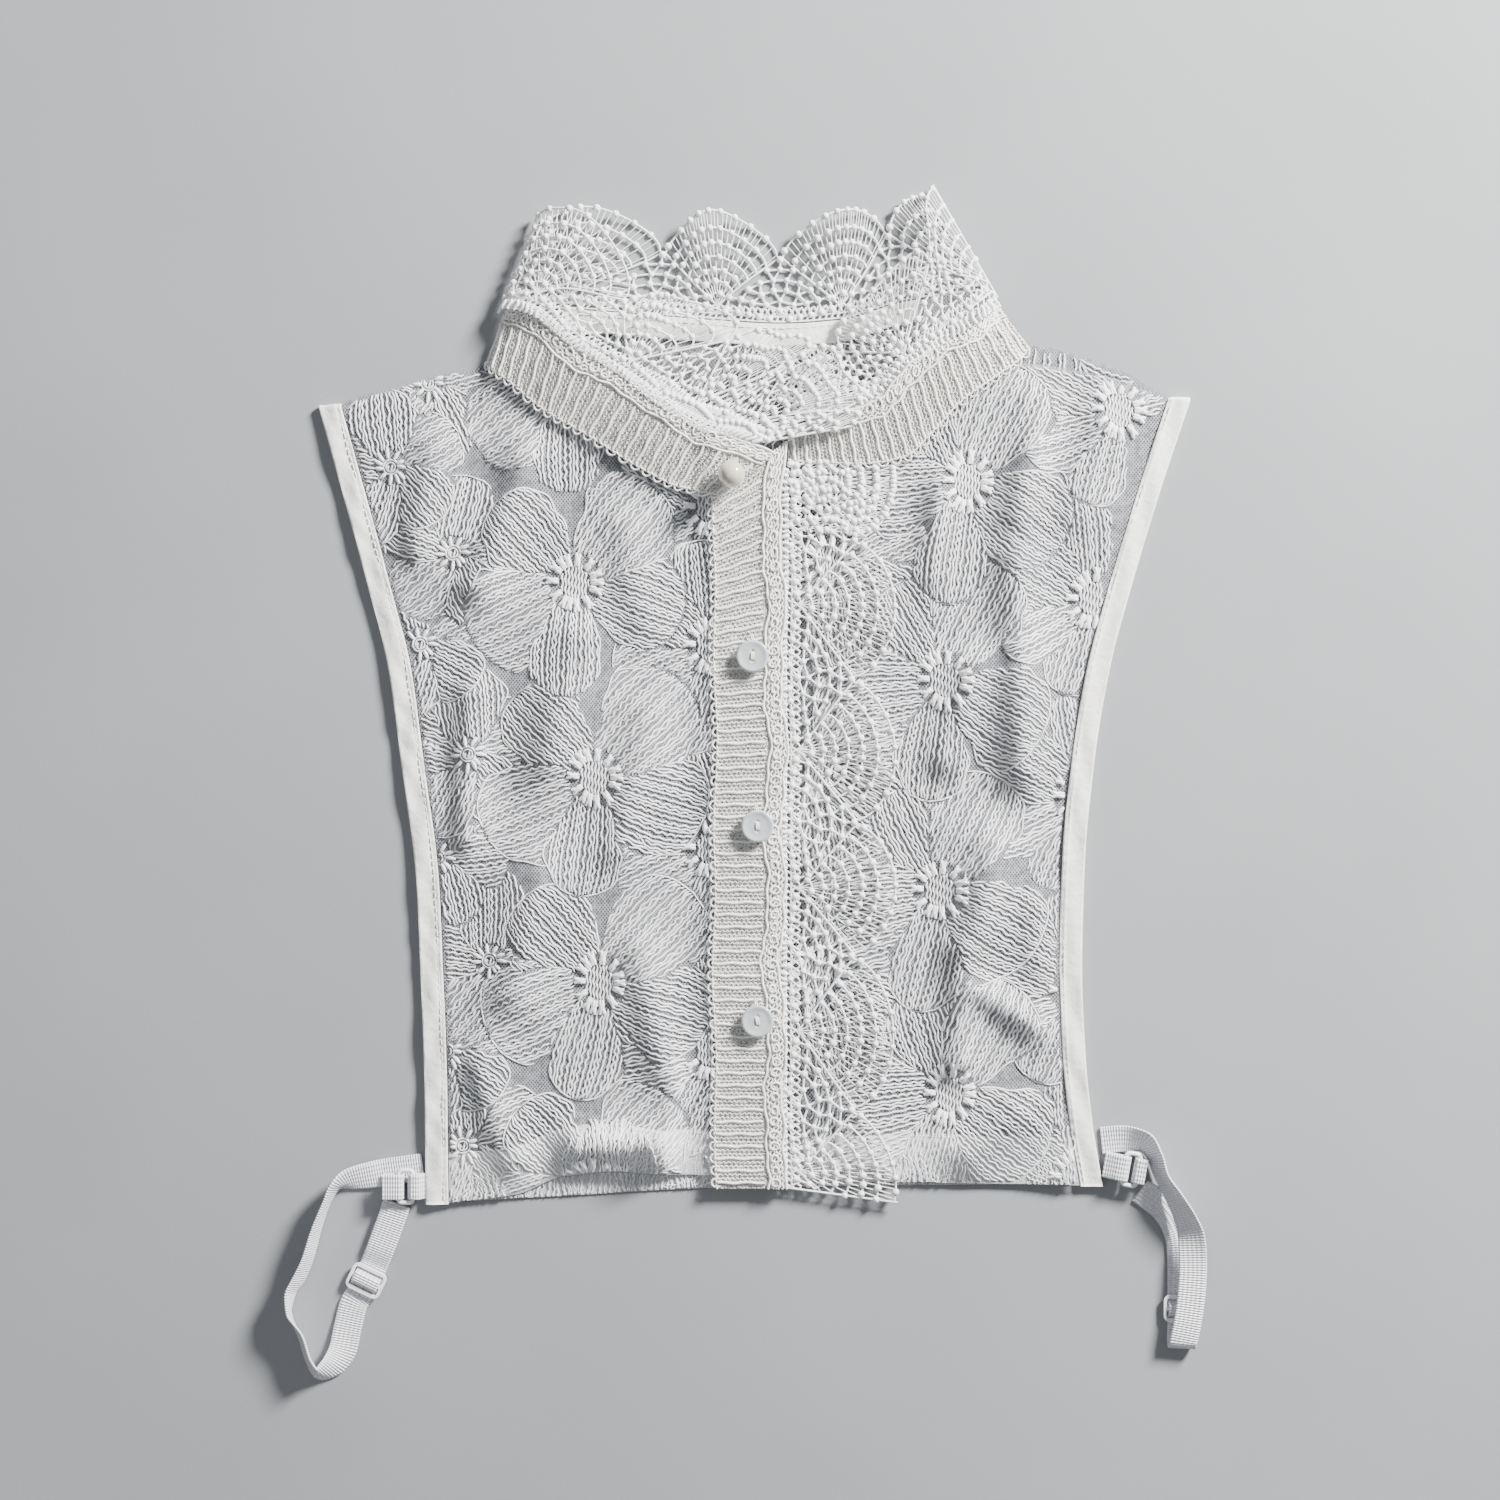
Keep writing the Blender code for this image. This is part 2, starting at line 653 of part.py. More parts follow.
def lace_grid(table, base, wave):
    """Points of a length of scalloped lace, and its open cells.

    base gives the height of what the lace lies on, and wave the height of its ruffles.
    """
    start, end = table[0][0], table[-1][0]
    cell = 1 / CELLS_PER_SCALLOP
    numbers = np.arange(math.ceil(start / cell), math.floor(end / cell) + 1) * cell
    bars = np.sort(np.concatenate([numbers, numbers + cell * BAR_SHARE]))
    bars = bars[(bars > start + 0.02) & (bars < end - 0.02)]
    scallop = np.concatenate([[start], bars, [end]])
    share = np.array(RIM_ROWS)
    reach = lace_width(scallop)[:, None] * share / LACE_VALLEY
    rows = along(table, scallop)
    seam, valley = rows[:, None, :3], rows[:, None, 3:]
    grid = seam + (valley - seam) * reach[..., None]
    grid[..., 2] = rows[:, None, 2] + (rows[:, None, 5] - rows[:, None, 2]) * share
    calm = ease((scallop - start) / 0.6) * ease((end - scallop) / 0.6)
    ruffle = 0.5 - 0.5 * np.cos(2 * np.pi * (scallop[:, None] + 0.12 * share))
    ruffle = ruffle * calm[:, None]
    grid[..., 2] += wave * share**1.5 * ruffle
    grid[..., 2] += base(grid[..., 0], grid[..., 1])
    middle = (scallop[1:] + scallop[:-1]) / 2 / cell
    is_gap = np.mod(middle, 1.0) > BAR_SHARE
    inside = (scallop[:-1] > start + 0.02) & (scallop[1:] < end - 0.02)
    holes = {(i, OPEN_ROW) for i in np.flatnonzero(is_gap & inside)}
    return grid, holes


def make_lace(lace, collection):
    def ground(x, y):
        return x * 0

    def on_right_front(x, y):
        return right_front_height(x, y) + CLOTH + GAP

    back, back_holes = lace_grid(LACE_BACK, ground, 5.0)
    cloth("collar_lace_back", back, CLOTH, lace, collection, back_holes)
    left, left_holes = lace_grid(LACE_LEFT, ground, 2.2)
    cloth("collar_lace_left", left, CLOTH, lace, collection, left_holes)
    right, right_holes = lace_grid(LACE_RIGHT, ground, 1.2)
    cloth("collar_lace_right", right, CLOTH, lace, collection, right_holes)
    frill, frill_holes = lace_grid(FRILL, on_right_front, 4.0)
    cloth("front_frill", frill, CLOTH, lace, collection, frill_holes)


# Straps and hardware


def through_slider(place):
    """A strap's way through its slider: under the end bars and over the middle one."""
    x, y, z, turn = place
    ahead = math.radians(turn)
    over = z + SLIDER_THICKNESS / 2 + STRAP_WALL / 2 + 0.25
    under = STRAP_WALL / 2 + 0.05
    way = ((5.6, under), (3.3, under), (2.2, (over + under) / 2), (1.1, over), (0, over + 0.05))
    steps = list(way) + [(-away, height) for away, height in reversed(way[:-1])]
    return tuple(
        (x + away * math.cos(ahead), y + away * math.sin(ahead), height, 0.0)
        for away, height in steps
    )


def strap_grid(table, turns, count):
    """A strap's points. turns lists the rows where it doubles back on itself in plan."""
    keyed = [(i, *row) for i, row in enumerate(table)]
    at = np.linspace(0, len(table) - 1, count)
    rows = along(keyed, at)
    path, roll = rows[:, :3], np.radians(rows[:, 3])
    ahead = np.gradient(path[:, :2], axis=0)
    side = np.stack([-ahead[:, 1], ahead[:, 0]], -1)
    for turn in turns:
        side[at > turn] *= -1
    weight = np.linalg.norm(side, axis=1, keepdims=True)
    side = side / np.maximum(weight, 1e-9)
    for turn in turns:
        near = np.abs(at - turn) < 0.9
        kept = np.flatnonzero(~near)
        for axis in range(2):
            side[near, axis] = np.interp(at[near], at[kept], side[kept, axis])
    side /= np.linalg.norm(side, axis=1, keepdims=True)
    across = np.stack(
        [side[:, 0] * np.cos(roll), side[:, 1] * np.cos(roll), np.sin(roll)], -1
    )
    half_high = (
        np.abs(np.sin(roll)) * STRAP_WIDTH / 2 + np.abs(np.cos(roll)) * STRAP_WALL / 2
    )
    path[:, 2] = np.maximum(path[:, 2], half_high + 0.03)
    half = across * STRAP_WIDTH / 2
    return np.stack([path - half, path + half], 1)


def make_loop(name, ring, side, length, ends, elastic, collection):
    """Elastic folded round one bar of a ring. ends are the heights of its two ends."""
    x, y, z, turn = ring
    fold = np.linspace(-math.pi / 2, math.pi / 2, 9)
    bar = side * RING_HALF[0]
    away = bar - side * LOOP_RADIUS * np.cos(fold)
    height = z + LOOP_RADIUS * np.sin(fold)
    far = side * (RING_HALF[0] + length)
    near = side * (RING_HALF[0] + min(2.5, length / 2))
    away = np.concatenate([[far, near], away, [near, far]])
    height = np.concatenate([[ends[0], z - LOOP_RADIUS], height, [z + LOOP_RADIUS, ends[1]]])
    turned_by = math.radians(turn)
    ahead = np.array([math.cos(turned_by), math.sin(turned_by), 0])
    across = np.array([-math.sin(turned_by), math.cos(turned_by), 0])
    path = np.array([x, y, 0]) + away[:, None] * ahead
    path[:, 2] = height
    half = across * LOOP_WIDTH / 2
    grid = np.stack([path - half, path + half], 1)
    cloth(name, grid, STRAP_WALL, elastic, collection, offset=0.0)


def make_ring(name, place, plastic, collection):
    """An oblong plastic ring of round bar, lying flat."""
    curve = bpy.data.curves.new(name, "CURVE")
    curve.dimensions = "3D"
    curve.bevel_depth = RING_BAR / 2 * MM
    curve.bevel_resolution = 1
    spline = curve.splines.new("POLY")
    outline = rounded_box(*RING_HALF, 1.4)
    spline.points.add(len(outline) - 1)
    for point, (px, py) in zip(spline.points, outline):
        point.co = (px * MM, py * MM, 0, 1)
    spline.use_cyclic_u = True
    made = add_object(name, curve, plastic, collection)
    made.location = [c * MM for c in place[:3]]
    made.rotation_euler = (0, 0, math.radians(place[3]))


def rounded_box(half_x, half_y, corner, centre_x=0.0):
    """Points of a rounded rectangle."""
    points = []
    for quarter in range(4):
        sign_x = (1, -1, -1, 1)[quarter]
        sign_y = (1, 1, -1, -1)[quarter]
        for step in range(4):
            turn = math.pi / 2 * (quarter + step / 3)
            points.append(
                (
                    centre_x + sign_x * (half_x - corner) + corner * math.cos(turn),
                    sign_y * (half_y - corner) + corner * math.sin(turn),
                )
            )
    return points


def make_slider(name, place, plastic, collection):
    """A strap slider: a plate with a bar between two slots. Its X runs along the strap."""
    curve = bpy.data.curves.new(name, "CURVE")
    curve.dimensions = "2D"
    curve.fill_mode = "BOTH"
    curve.extrude = SLIDER_THICKNESS / 2 * MM
    slot = (SLIDER_LENGTH - 3 * SLIDER_BAR) / 2
    slot_middle = (SLIDER_BAR + slot) / 2
    outlines = [rounded_box(SLIDER_LENGTH / 2, SLIDER_WIDTH / 2, 2.4)]
    for side in (-1, 1):
        outlines.append(
            rounded_box(slot / 2, SLIDER_SLOT_WIDTH / 2, 0.6, side * slot_middle)
        )
    for outline in outlines:
        spline = curve.splines.new("POLY")
        spline.points.add(len(outline) - 1)
        for point, (px, py) in zip(spline.points, outline):
            point.co = (px * MM, py * MM, 0, 1)
        spline.use_cyclic_u = True
    made = add_object(name, curve, plastic, collection)
    made.location = [c * MM for c in place[:3]]
    made.rotation_euler = (0, 0, math.radians(place[3]))


def make_straps(elastic, plastic, collection):
    left_way = LEFT_TO_SLIDER + through_slider(SLIDER_LEFT) + LEFT_TO_BACK
    left = strap_grid(left_way, (4,), 100)
    cloth("strap_left", left, STRAP_WALL, elastic, collection, offset=0.0)
    right_way = RIGHT_TO_SLIDER + through_slider(SLIDER_RIGHT) + RIGHT_TO_BACK
    right = strap_grid(right_way, (len(RIGHT_TO_SLIDER) + 9 + 2,), 88)
    cloth("strap_right", right, STRAP_WALL, elastic, collection, offset=0.0)
    make_loop("tab_left", RING_LEFT, 1, 3.9, (1.7, 3.0), elastic, collection)
    make_loop("strap_loop_left", RING_LEFT, -1, 5.6, (2.4, 5.3), elastic, collection)
    make_loop("tab_right", RING_RIGHT, -1, 7.1, (1.7, 3.0), elastic, collection)
    make_loop("strap_loop_right", RING_RIGHT, 1, 2.6, (2.4, 5.3), elastic, collection)
    make_ring("ring_left", RING_LEFT, plastic, collection)
    make_ring("ring_right", RING_RIGHT, plastic, collection)
    make_slider("slider_left", SLIDER_LEFT, plastic, collection)
    make_slider("slider_right", SLIDER_RIGHT, plastic, collection)


# Buttons


def turned(name, profile, steps, look, collection):
    """A turned shape from a profile of (radius, height), from the top of its axis outwards."""
    mesh = bpy.data.meshes.new(name)
    points = [(radius * MM, 0, height * MM) for radius, height in profile]
    mesh.from_pydata(points, [(i, i + 1) for i in range(len(points) - 1)], [])
    made = add_object(name, mesh, look, collection)
    screw = made.modifiers.new("Turn", "SCREW")
    screw.steps = steps
    screw.render_steps = steps
    screw.use_merge_vertices = True
    screw.merge_threshold = 0.00001
    return made


def make_button(name, middle, look, collection, cutters):
    """A two-hole shirt button: a dished face inside a round rim."""
    radius = BUTTON_DIAMETER / 2
    profile = (
        (0, 1.5),
        (radius * 0.56, 1.5),
        (radius * 0.70, 2.1),
        (radius * 0.88, 2.3),
        (radius, 1.7),
        (radius, 0.9),
        (radius * 0.78, 0.0),
        (0, 0.0),
    )
    made = turned(name, profile, 24, look, collection)
    x, y = (np.array([c]) for c in middle)
    rest = float(left_front_height(x, y)[0]) + 2 * CLOTH + GAP + TRIM - CLOTH
    made.location = (middle[0] * MM, middle[1] * MM, (rest + RIB_RISE + 0.9) * MM)
    for side in (-1, 1):
        cut = bpy.data.meshes.new(f"{name}_hole")
        shape = bmesh.new()
        bmesh.ops.create_cone(
            shape, cap_ends=True, segments=10, radius1=0.8 * MM, radius2=0.8 * MM, depth=6 * MM
        )
        shape.to_mesh(cut)
        shape.free()
        cutter = add_object(f"{name}_cutter_{side + 1}", cut, look, cutters)
        cutter.location = made.location
        cutter.location.y += side * 1.3 * MM
        cutter.hide_render = True
        cutter.display_type = "WIRE"
        hole = made.modifiers.new("Hole", "BOOLEAN")
        hole.operation = "DIFFERENCE"
        hole.solver = "EXACT"
        hole.object = cutter


def make_pearl(look, collection):
    """A pearl with a short shank, on the trim where the collar closes."""
    radius = PEARL_DIAMETER / 2
    turn = np.linspace(0, math.radians(160), 9)
    profile = [(radius * math.sin(a), radius * (1 + math.cos(a)) + 0.5) for a in turn]
    profile += [(1.6, 0.0), (0, 0.0)]
    made = turned("pearl_button", profile, 18, look, collection)
    x, y = (np.array([c]) for c in PEARL)
    rest = float(left_front_height(x, y)[0]) + CLOTH + GAP + TRIM + RIB_RISE + 1.0
    made.location = (PEARL[0] * MM, PEARL[1] * MM, rest * MM)


# Assembly


def centre_on_origin(collection):
    """Moves every piece so that the middle of the part's footprint is the origin."""
    bpy.context.view_layer.update()
    graph = bpy.context.evaluated_depsgraph_get()
    corners = []
    for made in collection.objects:
        solid = made.evaluated_get(graph)
        corners += [solid.matrix_world @ vertex.co for vertex in solid.to_mesh().vertices]
        solid.to_mesh_clear()
    points = np.array(corners)
    middle = (points.min(0) + points.max(0)) / 2
    shift = (-middle[0], -middle[1], -points[:, 2].min())
    for group in bpy.context.scene.collection.children:
        for made in group.objects:
            made.location.x += shift[0]
            made.location.y += shift[1]
            made.location.z += shift[2]


def main():
    for old in list(bpy.data.objects):
        bpy.data.objects.remove(old)
    collection = bpy.data.collections.new("Detachable collar")
    cutters = bpy.data.collections.new("Cutters")
    bpy.context.scene.collection.children.link(collection)
    bpy.context.scene.collection.children.link(cutters)

    net = material("Embroidered net", (0.80, 0.81, 0.83), 0.75)
    lace = material("Scalloped lace", (0.84, 0.84, 0.83), 0.7)
    knit = material("Ribbed trim", (0.85, 0.84, 0.81), 0.65)
    satin = material("Satin tape", (0.84, 0.83, 0.79), 0.5)
    elastic = material("Elastic", (0.78, 0.78, 0.82), 0.45)
    plastic = material("Clear white plastic", (0.85, 0.85, 0.84), 0.25)
    button = material("Button", (0.74, 0.77, 0.80), 0.2)
    pearl = material("Pearl", (0.86, 0.82, 0.74), 0.15)

    make_panels(net, collection)
    make_neck_tape(satin, collection)
    make_binding("binding_left", LEFT_EDGE, 1, satin, collection)
    make_binding("binding_right", RIGHT_EDGE, -1, satin, collection)
    make_placket(knit, collection)
    make_collar_trim("collar_trim_left", TRIM_LEFT, left_front_height, knit, collection)
    make_collar_trim("collar_trim_right", TRIM_RIGHT, right_front_height, knit, collection)
    make_lace(lace, collection)
    make_straps(elastic, plastic, collection)
    for number, middle in enumerate(BUTTONS, 1):
        make_button(f"button_{number}", middle, button, collection, cutters)
    make_pearl(pearl, collection)
    centre_on_origin(collection)


main()
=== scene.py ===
"""Looks of the detachable lace collar, laid flat and buttoned.

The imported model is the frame. Each piece of cloth is built here as thin cloth and thread on the form
of its solid: embroidered net, scalloped lace made of cords and knots, ribbed trim, satin tape,
elastic, and the plastic fastenings.

Lengths in the tables and functions are millimetres in the part's own drawing, with X to the right,
Y towards the collar and Z up from the ground. add_piece() turns them into the frame's metres.
"""

import math

import bpy
import numpy as np
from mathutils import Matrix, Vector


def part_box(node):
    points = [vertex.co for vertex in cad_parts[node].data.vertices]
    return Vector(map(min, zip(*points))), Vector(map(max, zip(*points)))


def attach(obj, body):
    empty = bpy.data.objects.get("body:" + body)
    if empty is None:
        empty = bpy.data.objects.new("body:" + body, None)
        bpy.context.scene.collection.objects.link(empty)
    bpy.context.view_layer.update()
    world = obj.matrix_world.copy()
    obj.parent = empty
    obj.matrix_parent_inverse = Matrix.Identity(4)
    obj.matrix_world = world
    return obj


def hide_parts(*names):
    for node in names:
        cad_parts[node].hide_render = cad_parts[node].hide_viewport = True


MM = 0.001
LOWEST = 0.03  # height of the lowest thread above the floor
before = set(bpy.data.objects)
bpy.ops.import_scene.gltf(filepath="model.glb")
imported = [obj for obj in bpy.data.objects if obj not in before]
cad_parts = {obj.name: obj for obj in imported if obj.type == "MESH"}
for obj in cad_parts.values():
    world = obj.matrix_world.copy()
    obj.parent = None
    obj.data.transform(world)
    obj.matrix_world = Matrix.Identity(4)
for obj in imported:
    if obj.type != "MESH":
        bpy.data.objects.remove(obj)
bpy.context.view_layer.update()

# The walls and gaps of the solids
CLOTH = 1.0
GAP = 0.3
TRIM_GAP = 0.8
RIB_PITCH = 4.4  # finer than the relief of the solids
TAPE = 1.0
NECK_TAPE_WIDTH = 8.0
BINDING_WIDTH = 8.2
BINDING_WALL = 1.1
BINDING_STEPS = 240  # points along a binding's back and along its front
SEAM_ACROSS = 0.62  # where its stitches run, from -1 at the outer edge to 1
FRONT_LIFT = CLOTH + GAP
OVERLAP_STEP = 1.5
STRAP_WIDTH = 10.0
STRAP_WALL = 1.0
RING_BAR = 1.6
BUTTON_DIAMETER = 11.6
PEARL_DIAMETER = 9.6
PLACKET_LEFT = -12.0
PLACKET_RIGHT = 13.6
PLACKET_TOP = 102.4
PLACKET_SLANT = 18.5  # how much higher its sewn edge ends than its looped edge
HEM_Y = -147.0
HEM_DEPTH = 17.5
PANEL_HEIGHT = 290.0  # turns the hem's depth into a share of a panel's height

# Scalloped lace
LACE_VALLEY = 26.0
SCALLOP_DEPTH = 15.5
SCALLOP_ROUNDNESS = 0.55
SCALLOP_LENGTH = 46.0
KNOTS_PER_SCALLOP = 9
FIRST_KNOT = 0.15  # of a knot's interval after the valley
FAN_CENTRE = 5.0  # from the seam to the middle of the fan under each crown
FAN_RINGS = (0.13, 0.25, 0.37, 0.5, 0.64, 0.79, 0.965)  # share of the way to the scalloped edge
FAN_BARS = ((0.5,), (0.5,), (0.5,), (0.25, 0.75), (0.25, 0.75), (0.2, 0.5, 0.8))
KNOT_SPACING = 4.2
VALLEY_CENTRE = 0.8
VALLEY_RINGS = (3.8, 7.8, 11.9, 16.0, 20.1, 24.0)
VALLEY_SPACING = 4.3
PUFF_PITCH = 2.2
DOUBLED_SHARE = 0.62  # of a scallop, at the frill's top, which is folded double
DOUBLED_RISE = 2.4  # how far the doubled top of the frill goes up under the collar trim
DOUBLED_LIFT = 0.45
LACE_CORD = 0.40
LACE_BAR = 0.25
LACE_KNOT = 1.28

# Embroidery
THREAD = 0.48  # radius
THREAD_PITCH = 1.55
THREAD_STEP = 0.98
THREAD_WAVE = 0.34
THREAD_WAVELENGTH = 3.9
FLOWER_HEART = (5.2, 6.9)  # half width and half height of a large flower's middle
FLOWER_RING = 8.2
FLOWER_REACH = 110.0  # a flower farther than this from a thread isn't tested for covering it

# Middle of each button: x, y
BUTTONS = ((2.2, 44.3), (4.0, -16.6), (4.0, -86.4))
PEARL = (-5.2, 108.6)

# Outer edge of each armhole binding: y, x
LEFT_EDGE = (
    (-153.0, -115.5),
    (-110.0, -116.0),
    (-68.0, -117.5),
    (-36.0, -119.0),
    (7.0, -124.5),
    (40.0, -129.0),
    (72.0, -137.0),
    (105.0, -146.0),
    (134.0, -154.0),
)
RIGHT_EDGE = (
    (-146.5, 128.5),
    (-122.0, 124.5),
    (-100.0, 122.3),
    (-68.0, 121.0),
    (-30.0, 122.0),
    (7.0, 125.5),
    (40.0, 131.0),
    (72.0, 139.5),
    (105.0, 149.5),
    (136.5, 160.0),
)

# Top and bottom of each panel, by the share of its width from its left side: share, y
BACK_TOP = (
    (0.0, 136.0),
    (0.08, 141.5),
    (0.165, 149.0),
    (0.185, 156.0),
    (0.20, 166.0),
    (0.215, 169.0),
    (0.268, 169.5),
    (0.375, 167.4),
    (0.456, 165.6),
    (0.530, 164.4),
    (0.604, 165.8),
    (0.682, 172.4),
    (0.783, 176.0),
    (0.80, 168.0),
    (0.816, 160.5),
    (0.83, 157.5),
    (0.87, 155.0),
    (0.94, 148.3),
    (1.0, 138.0),
)
BACK_BOTTOM = ((0.0, -152.5), (0.2, -150.0), (0.4, -147.5), (0.7, -146.5), (1.0, -146.0))
LEFT_TOP = (
    (0.0, 136.0),
    (0.12, 141.5),
    (0.28, 147.0),
    (0.335, 146.4),
    (0.37, 150.4),
    (0.41, 155.0),
    (0.50, 147.5),
    (0.62, 137.0),
    (0.74, 127.0),
    (0.82, 119.0),
    (0.90, 115.0),
    (1.0, 114.0),
)
LEFT_BOTTOM = (
    (0.0, -152.5),
    (0.20, -149.5),
    (0.34, -143.0),
    (0.5, -141.0),
    (0.62, -142.0),
    (0.78, -142.5),
    (1.0, -146.0),
)
RIGHT_TOP = (
    (0.0, 113.5),
    (0.12, 114.5),
    (0.24, 118.0),
    (0.34, 125.5),
    (0.43, 137.0),
    (0.50, 147.0),
    (0.56, 153.0),
    (0.62, 153.0),
    (0.655, 150.0),
    (0.70, 149.5),
    (0.84, 146.0),
    (1.0, 138.0),
)
RIGHT_BOTTOM = ((0.0, -145.5), (0.4, -145.0), (0.7, -145.5), (1.0, -146.0))

# Neck seam of each front: x, y, rise of the cloth there
NECK_LEFT = (
    (-86.0, 166.0, 0.2),
    (-80.0, 163.0, 3.5),
    (-66.0, 152.0, 6.0),
    (-46.0, 139.5, 6.5),
    (-30.0, 129.5, 6.5),
    (-18.0, 121.5, 5.5),
    (-3.0, 117.5, 4.0),
    (14.0, 116.0, 3.0),
)
NECK_RIGHT = (
    (90.0, 168.0, 0.2),
    (82.0, 160.0, 4.0),
    (69.0, 151.0, 6.5),
    (58.0, 142.0, 6.5),
    (48.0, 133.0, 6.0),
    (38.0, 126.0, 5.0),
    (25.0, 121.0, 3.5),
    (-3.0, 117.5, 2.6),
)
NECK_SPREAD = 26.0

# Soft folds, as ridges between two points: x0, y0, x1, y1, half width, height
FOLDS_LEFT = (
    (-78.0, 116.0, -96.0, 70.0, 11.0, 5.2),
    (-112.0, 118.0, -118.0, 84.0, 10.0, 3.2),
    (-60.0, 50.0, -70.0, 8.0, 13.0, 4.2),
    (-98.0, 30.0, -101.0, -20.0, 8.0, 3.4),
    (-44.0, 92.0, -38.0, 60.0, 12.0, 3.0),
    (-36.0, 22.0, -46.0, -24.0, 12.0, 3.4),
    (-74.0, -36.0, -84.0, -76.0, 12.0, 4.0),
    (-38.0, -62.0, -30.0, -100.0, 11.0, 3.6),
    (-60.0, -131.0, -34.0, -130.0, 9.0, 5.0),
    (-96.0, -104.0, -84.0, -136.0, 9.0, 3.2),
    (-24.0, -110.0, -30.0, -136.0, 6.0, 3.0),
)
FOLDS_RIGHT = (
    (104.0, 134.0, 98.0, 96.0, 10.0, 5.0),
    (128.0, 128.0, 118.0, 96.0, 9.0, 3.0),
    (97.0, 78.0, 99.0, 4.0, 11.0, 6.2),
    (82.0, 40.0, 72.0, 8.0, 9.0, 3.4),
    (88.0, -24.0, 84.0, -52.0, 11.0, 5.0),
    (78.0, -62.0, 76.0, -100.0, 8.0, 4.6),
    (84.0, -76.0, 110.0, -92.0, 6.0, 3.6),
    (106.0, -48.0, 108.0, -64.0, 8.0, 3.0),
    (96.0, -120.0, 80.0, -134.0, 10.0, 3.6),
    (70.0, 104.0, 66.0, 74.0, 9.0, 3.0),
)

# The solids' folds are broad. On the cloth a narrower crest runs along each of them.
FOLD_CRESTS = tuple(
    (*fold[:4], 0.5 * fold[4], 0.34 * fold[5]) for fold in FOLDS_LEFT + FOLDS_RIGHT
)

# Ribbed trim on the neck seam: share, outer x, outer y, inner x, inner y, rise of the inner edge
TRIM_LEFT = (
    (0.0, -94.5, 149.5, -87.0, 168.0, -6.0),
    (0.05, -92.5, 147.5, -85.5, 169.5, 0.8),
    (0.15, -86.0, 142.8, -78.5, 168.0, 2.0),
    (0.3, -73.5, 132.5, -64.5, 158.0, 2.0),
    (0.5, -57.0, 122.8, -44.0, 145.0, 1.6),
    (0.7, -37.5, 110.8, -25.5, 132.5, 1.6),
    (0.85, -24.5, 104.6, -11.0, 125.3, 1.4),
    (1.0, -13.8, 103.0, 6.5, 118.0, 0.6),
)
TRIM_RIGHT = (
    (0.0, 15.0, 114.5, 15.0, 124.0, 0.2),
    (0.12, 27.0, 113.3, 25.0, 128.8, 0.6),
    (0.28, 42.5, 112.8, 38.0, 132.8, 1.0),
    (0.42, 57.0, 115.2, 49.0, 139.0, 1.4),
    (0.56, 67.0, 124.0, 59.0, 148.5, 1.8),
    (0.70, 77.5, 135.2, 69.0, 157.0, 2.0),
    (0.86, 91.0, 145.0, 80.5, 164.0, 2.0),
    (0.95, 99.0, 151.0, 87.5, 170.0, 0.8),
    (1.0, 102.5, 155.5, 91.0, 170.5, -6.0),
)
FOLD_FOOT = FRONT_LIFT
TRIM_LAP = (4.2, -1.6, 1.3)  # how far the left trim's end lies beyond its solid, on the placket

# Scalloped lace: scallop number, seam x, seam y, seam z, then valley x, y, z
LACE_BACK = (
    (0.2, -86.5, 169.6, 0.0, -77.6, 192.2, 0.0),
    (0.5, -66.0, 170.0, 0.0, -60.7, 193.4, 0.6),
    (1.0, -34.0, 168.0, 0.0, -30.0, 190.4, 0.0),
    (1.5, -10.0, 166.2, 0.0, -11.5, 191.0, 0.8),
    (2.0, 12.0, 165.0, 0.0, 12.2, 188.6, 0.0),
    (2.5, 34.0, 166.4, 0.0, 34.0, 191.0, 0.8),
    (3.0, 57.0, 173.0, 0.0, 51.0, 197.0, 0.0),
    (3.5, 87.0, 176.8, 0.0, 72.3, 198.8, 0.0),
)
LACE_LEFT = (
    (0.2, -88.3, 170.4, 1.3, -79.4, 193.0, 1.3),
    (0.3, -86.5, 171.5, 5.5, -77.5, 193.5, 5.0),
    (0.5, -76.8, 169.3, 10.6, -66.5, 191.5, 8.6),
    (1.0, -62.4, 158.2, 11.2, -43.0, 171.5, 8.8),
    (1.5, -43.6, 146.3, 11.2, -31.5, 163.0, 8.0),
    (2.0, -31.6, 138.2, 11.2, -6.0, 157.5, 6.8),
    (2.5, -21.8, 131.6, 10.8, 1.0, 149.0, 7.0),
    (3.0, -12.6, 127.3, 10.6, 17.0, 149.5, 9.8),
    (3.5, -3.4, 124.8, 10.6, 21.0, 138.5, 10.4),
    (4.0, 2.6, 122.6, 10.4, 33.5, 131.5, 10.6),
    (4.3, 6.0, 120.6, 10.2, 27.0, 124.2, 10.6),
)
LACE_RIGHT = (
    (-3.2, 21.0, 129.6, 6.4, 8.0, 138.5, 3.2),
    (-2.5, 33.6, 133.1, 7.4, 24.0, 145.5, 2.8),
    (-2.0, 48.6, 140.4, 8.4, 34.0, 154.0, 3.0),
    (-1.5, 58.4, 149.7, 10.2, 48.2, 164.5, 5.2),
    (-1.0, 71.5, 160.0, 11.0, 65.5, 186.5, 8.4),
    (-0.7, 82.0, 167.0, 10.4, 70.0, 193.0, 8.6),
    (-0.55, 88.6, 172.4, 5.5, 74.2, 198.0, 5.0),
    (-0.5, 90.6, 173.8, 1.3, 76.0, 199.2, 1.3),
)
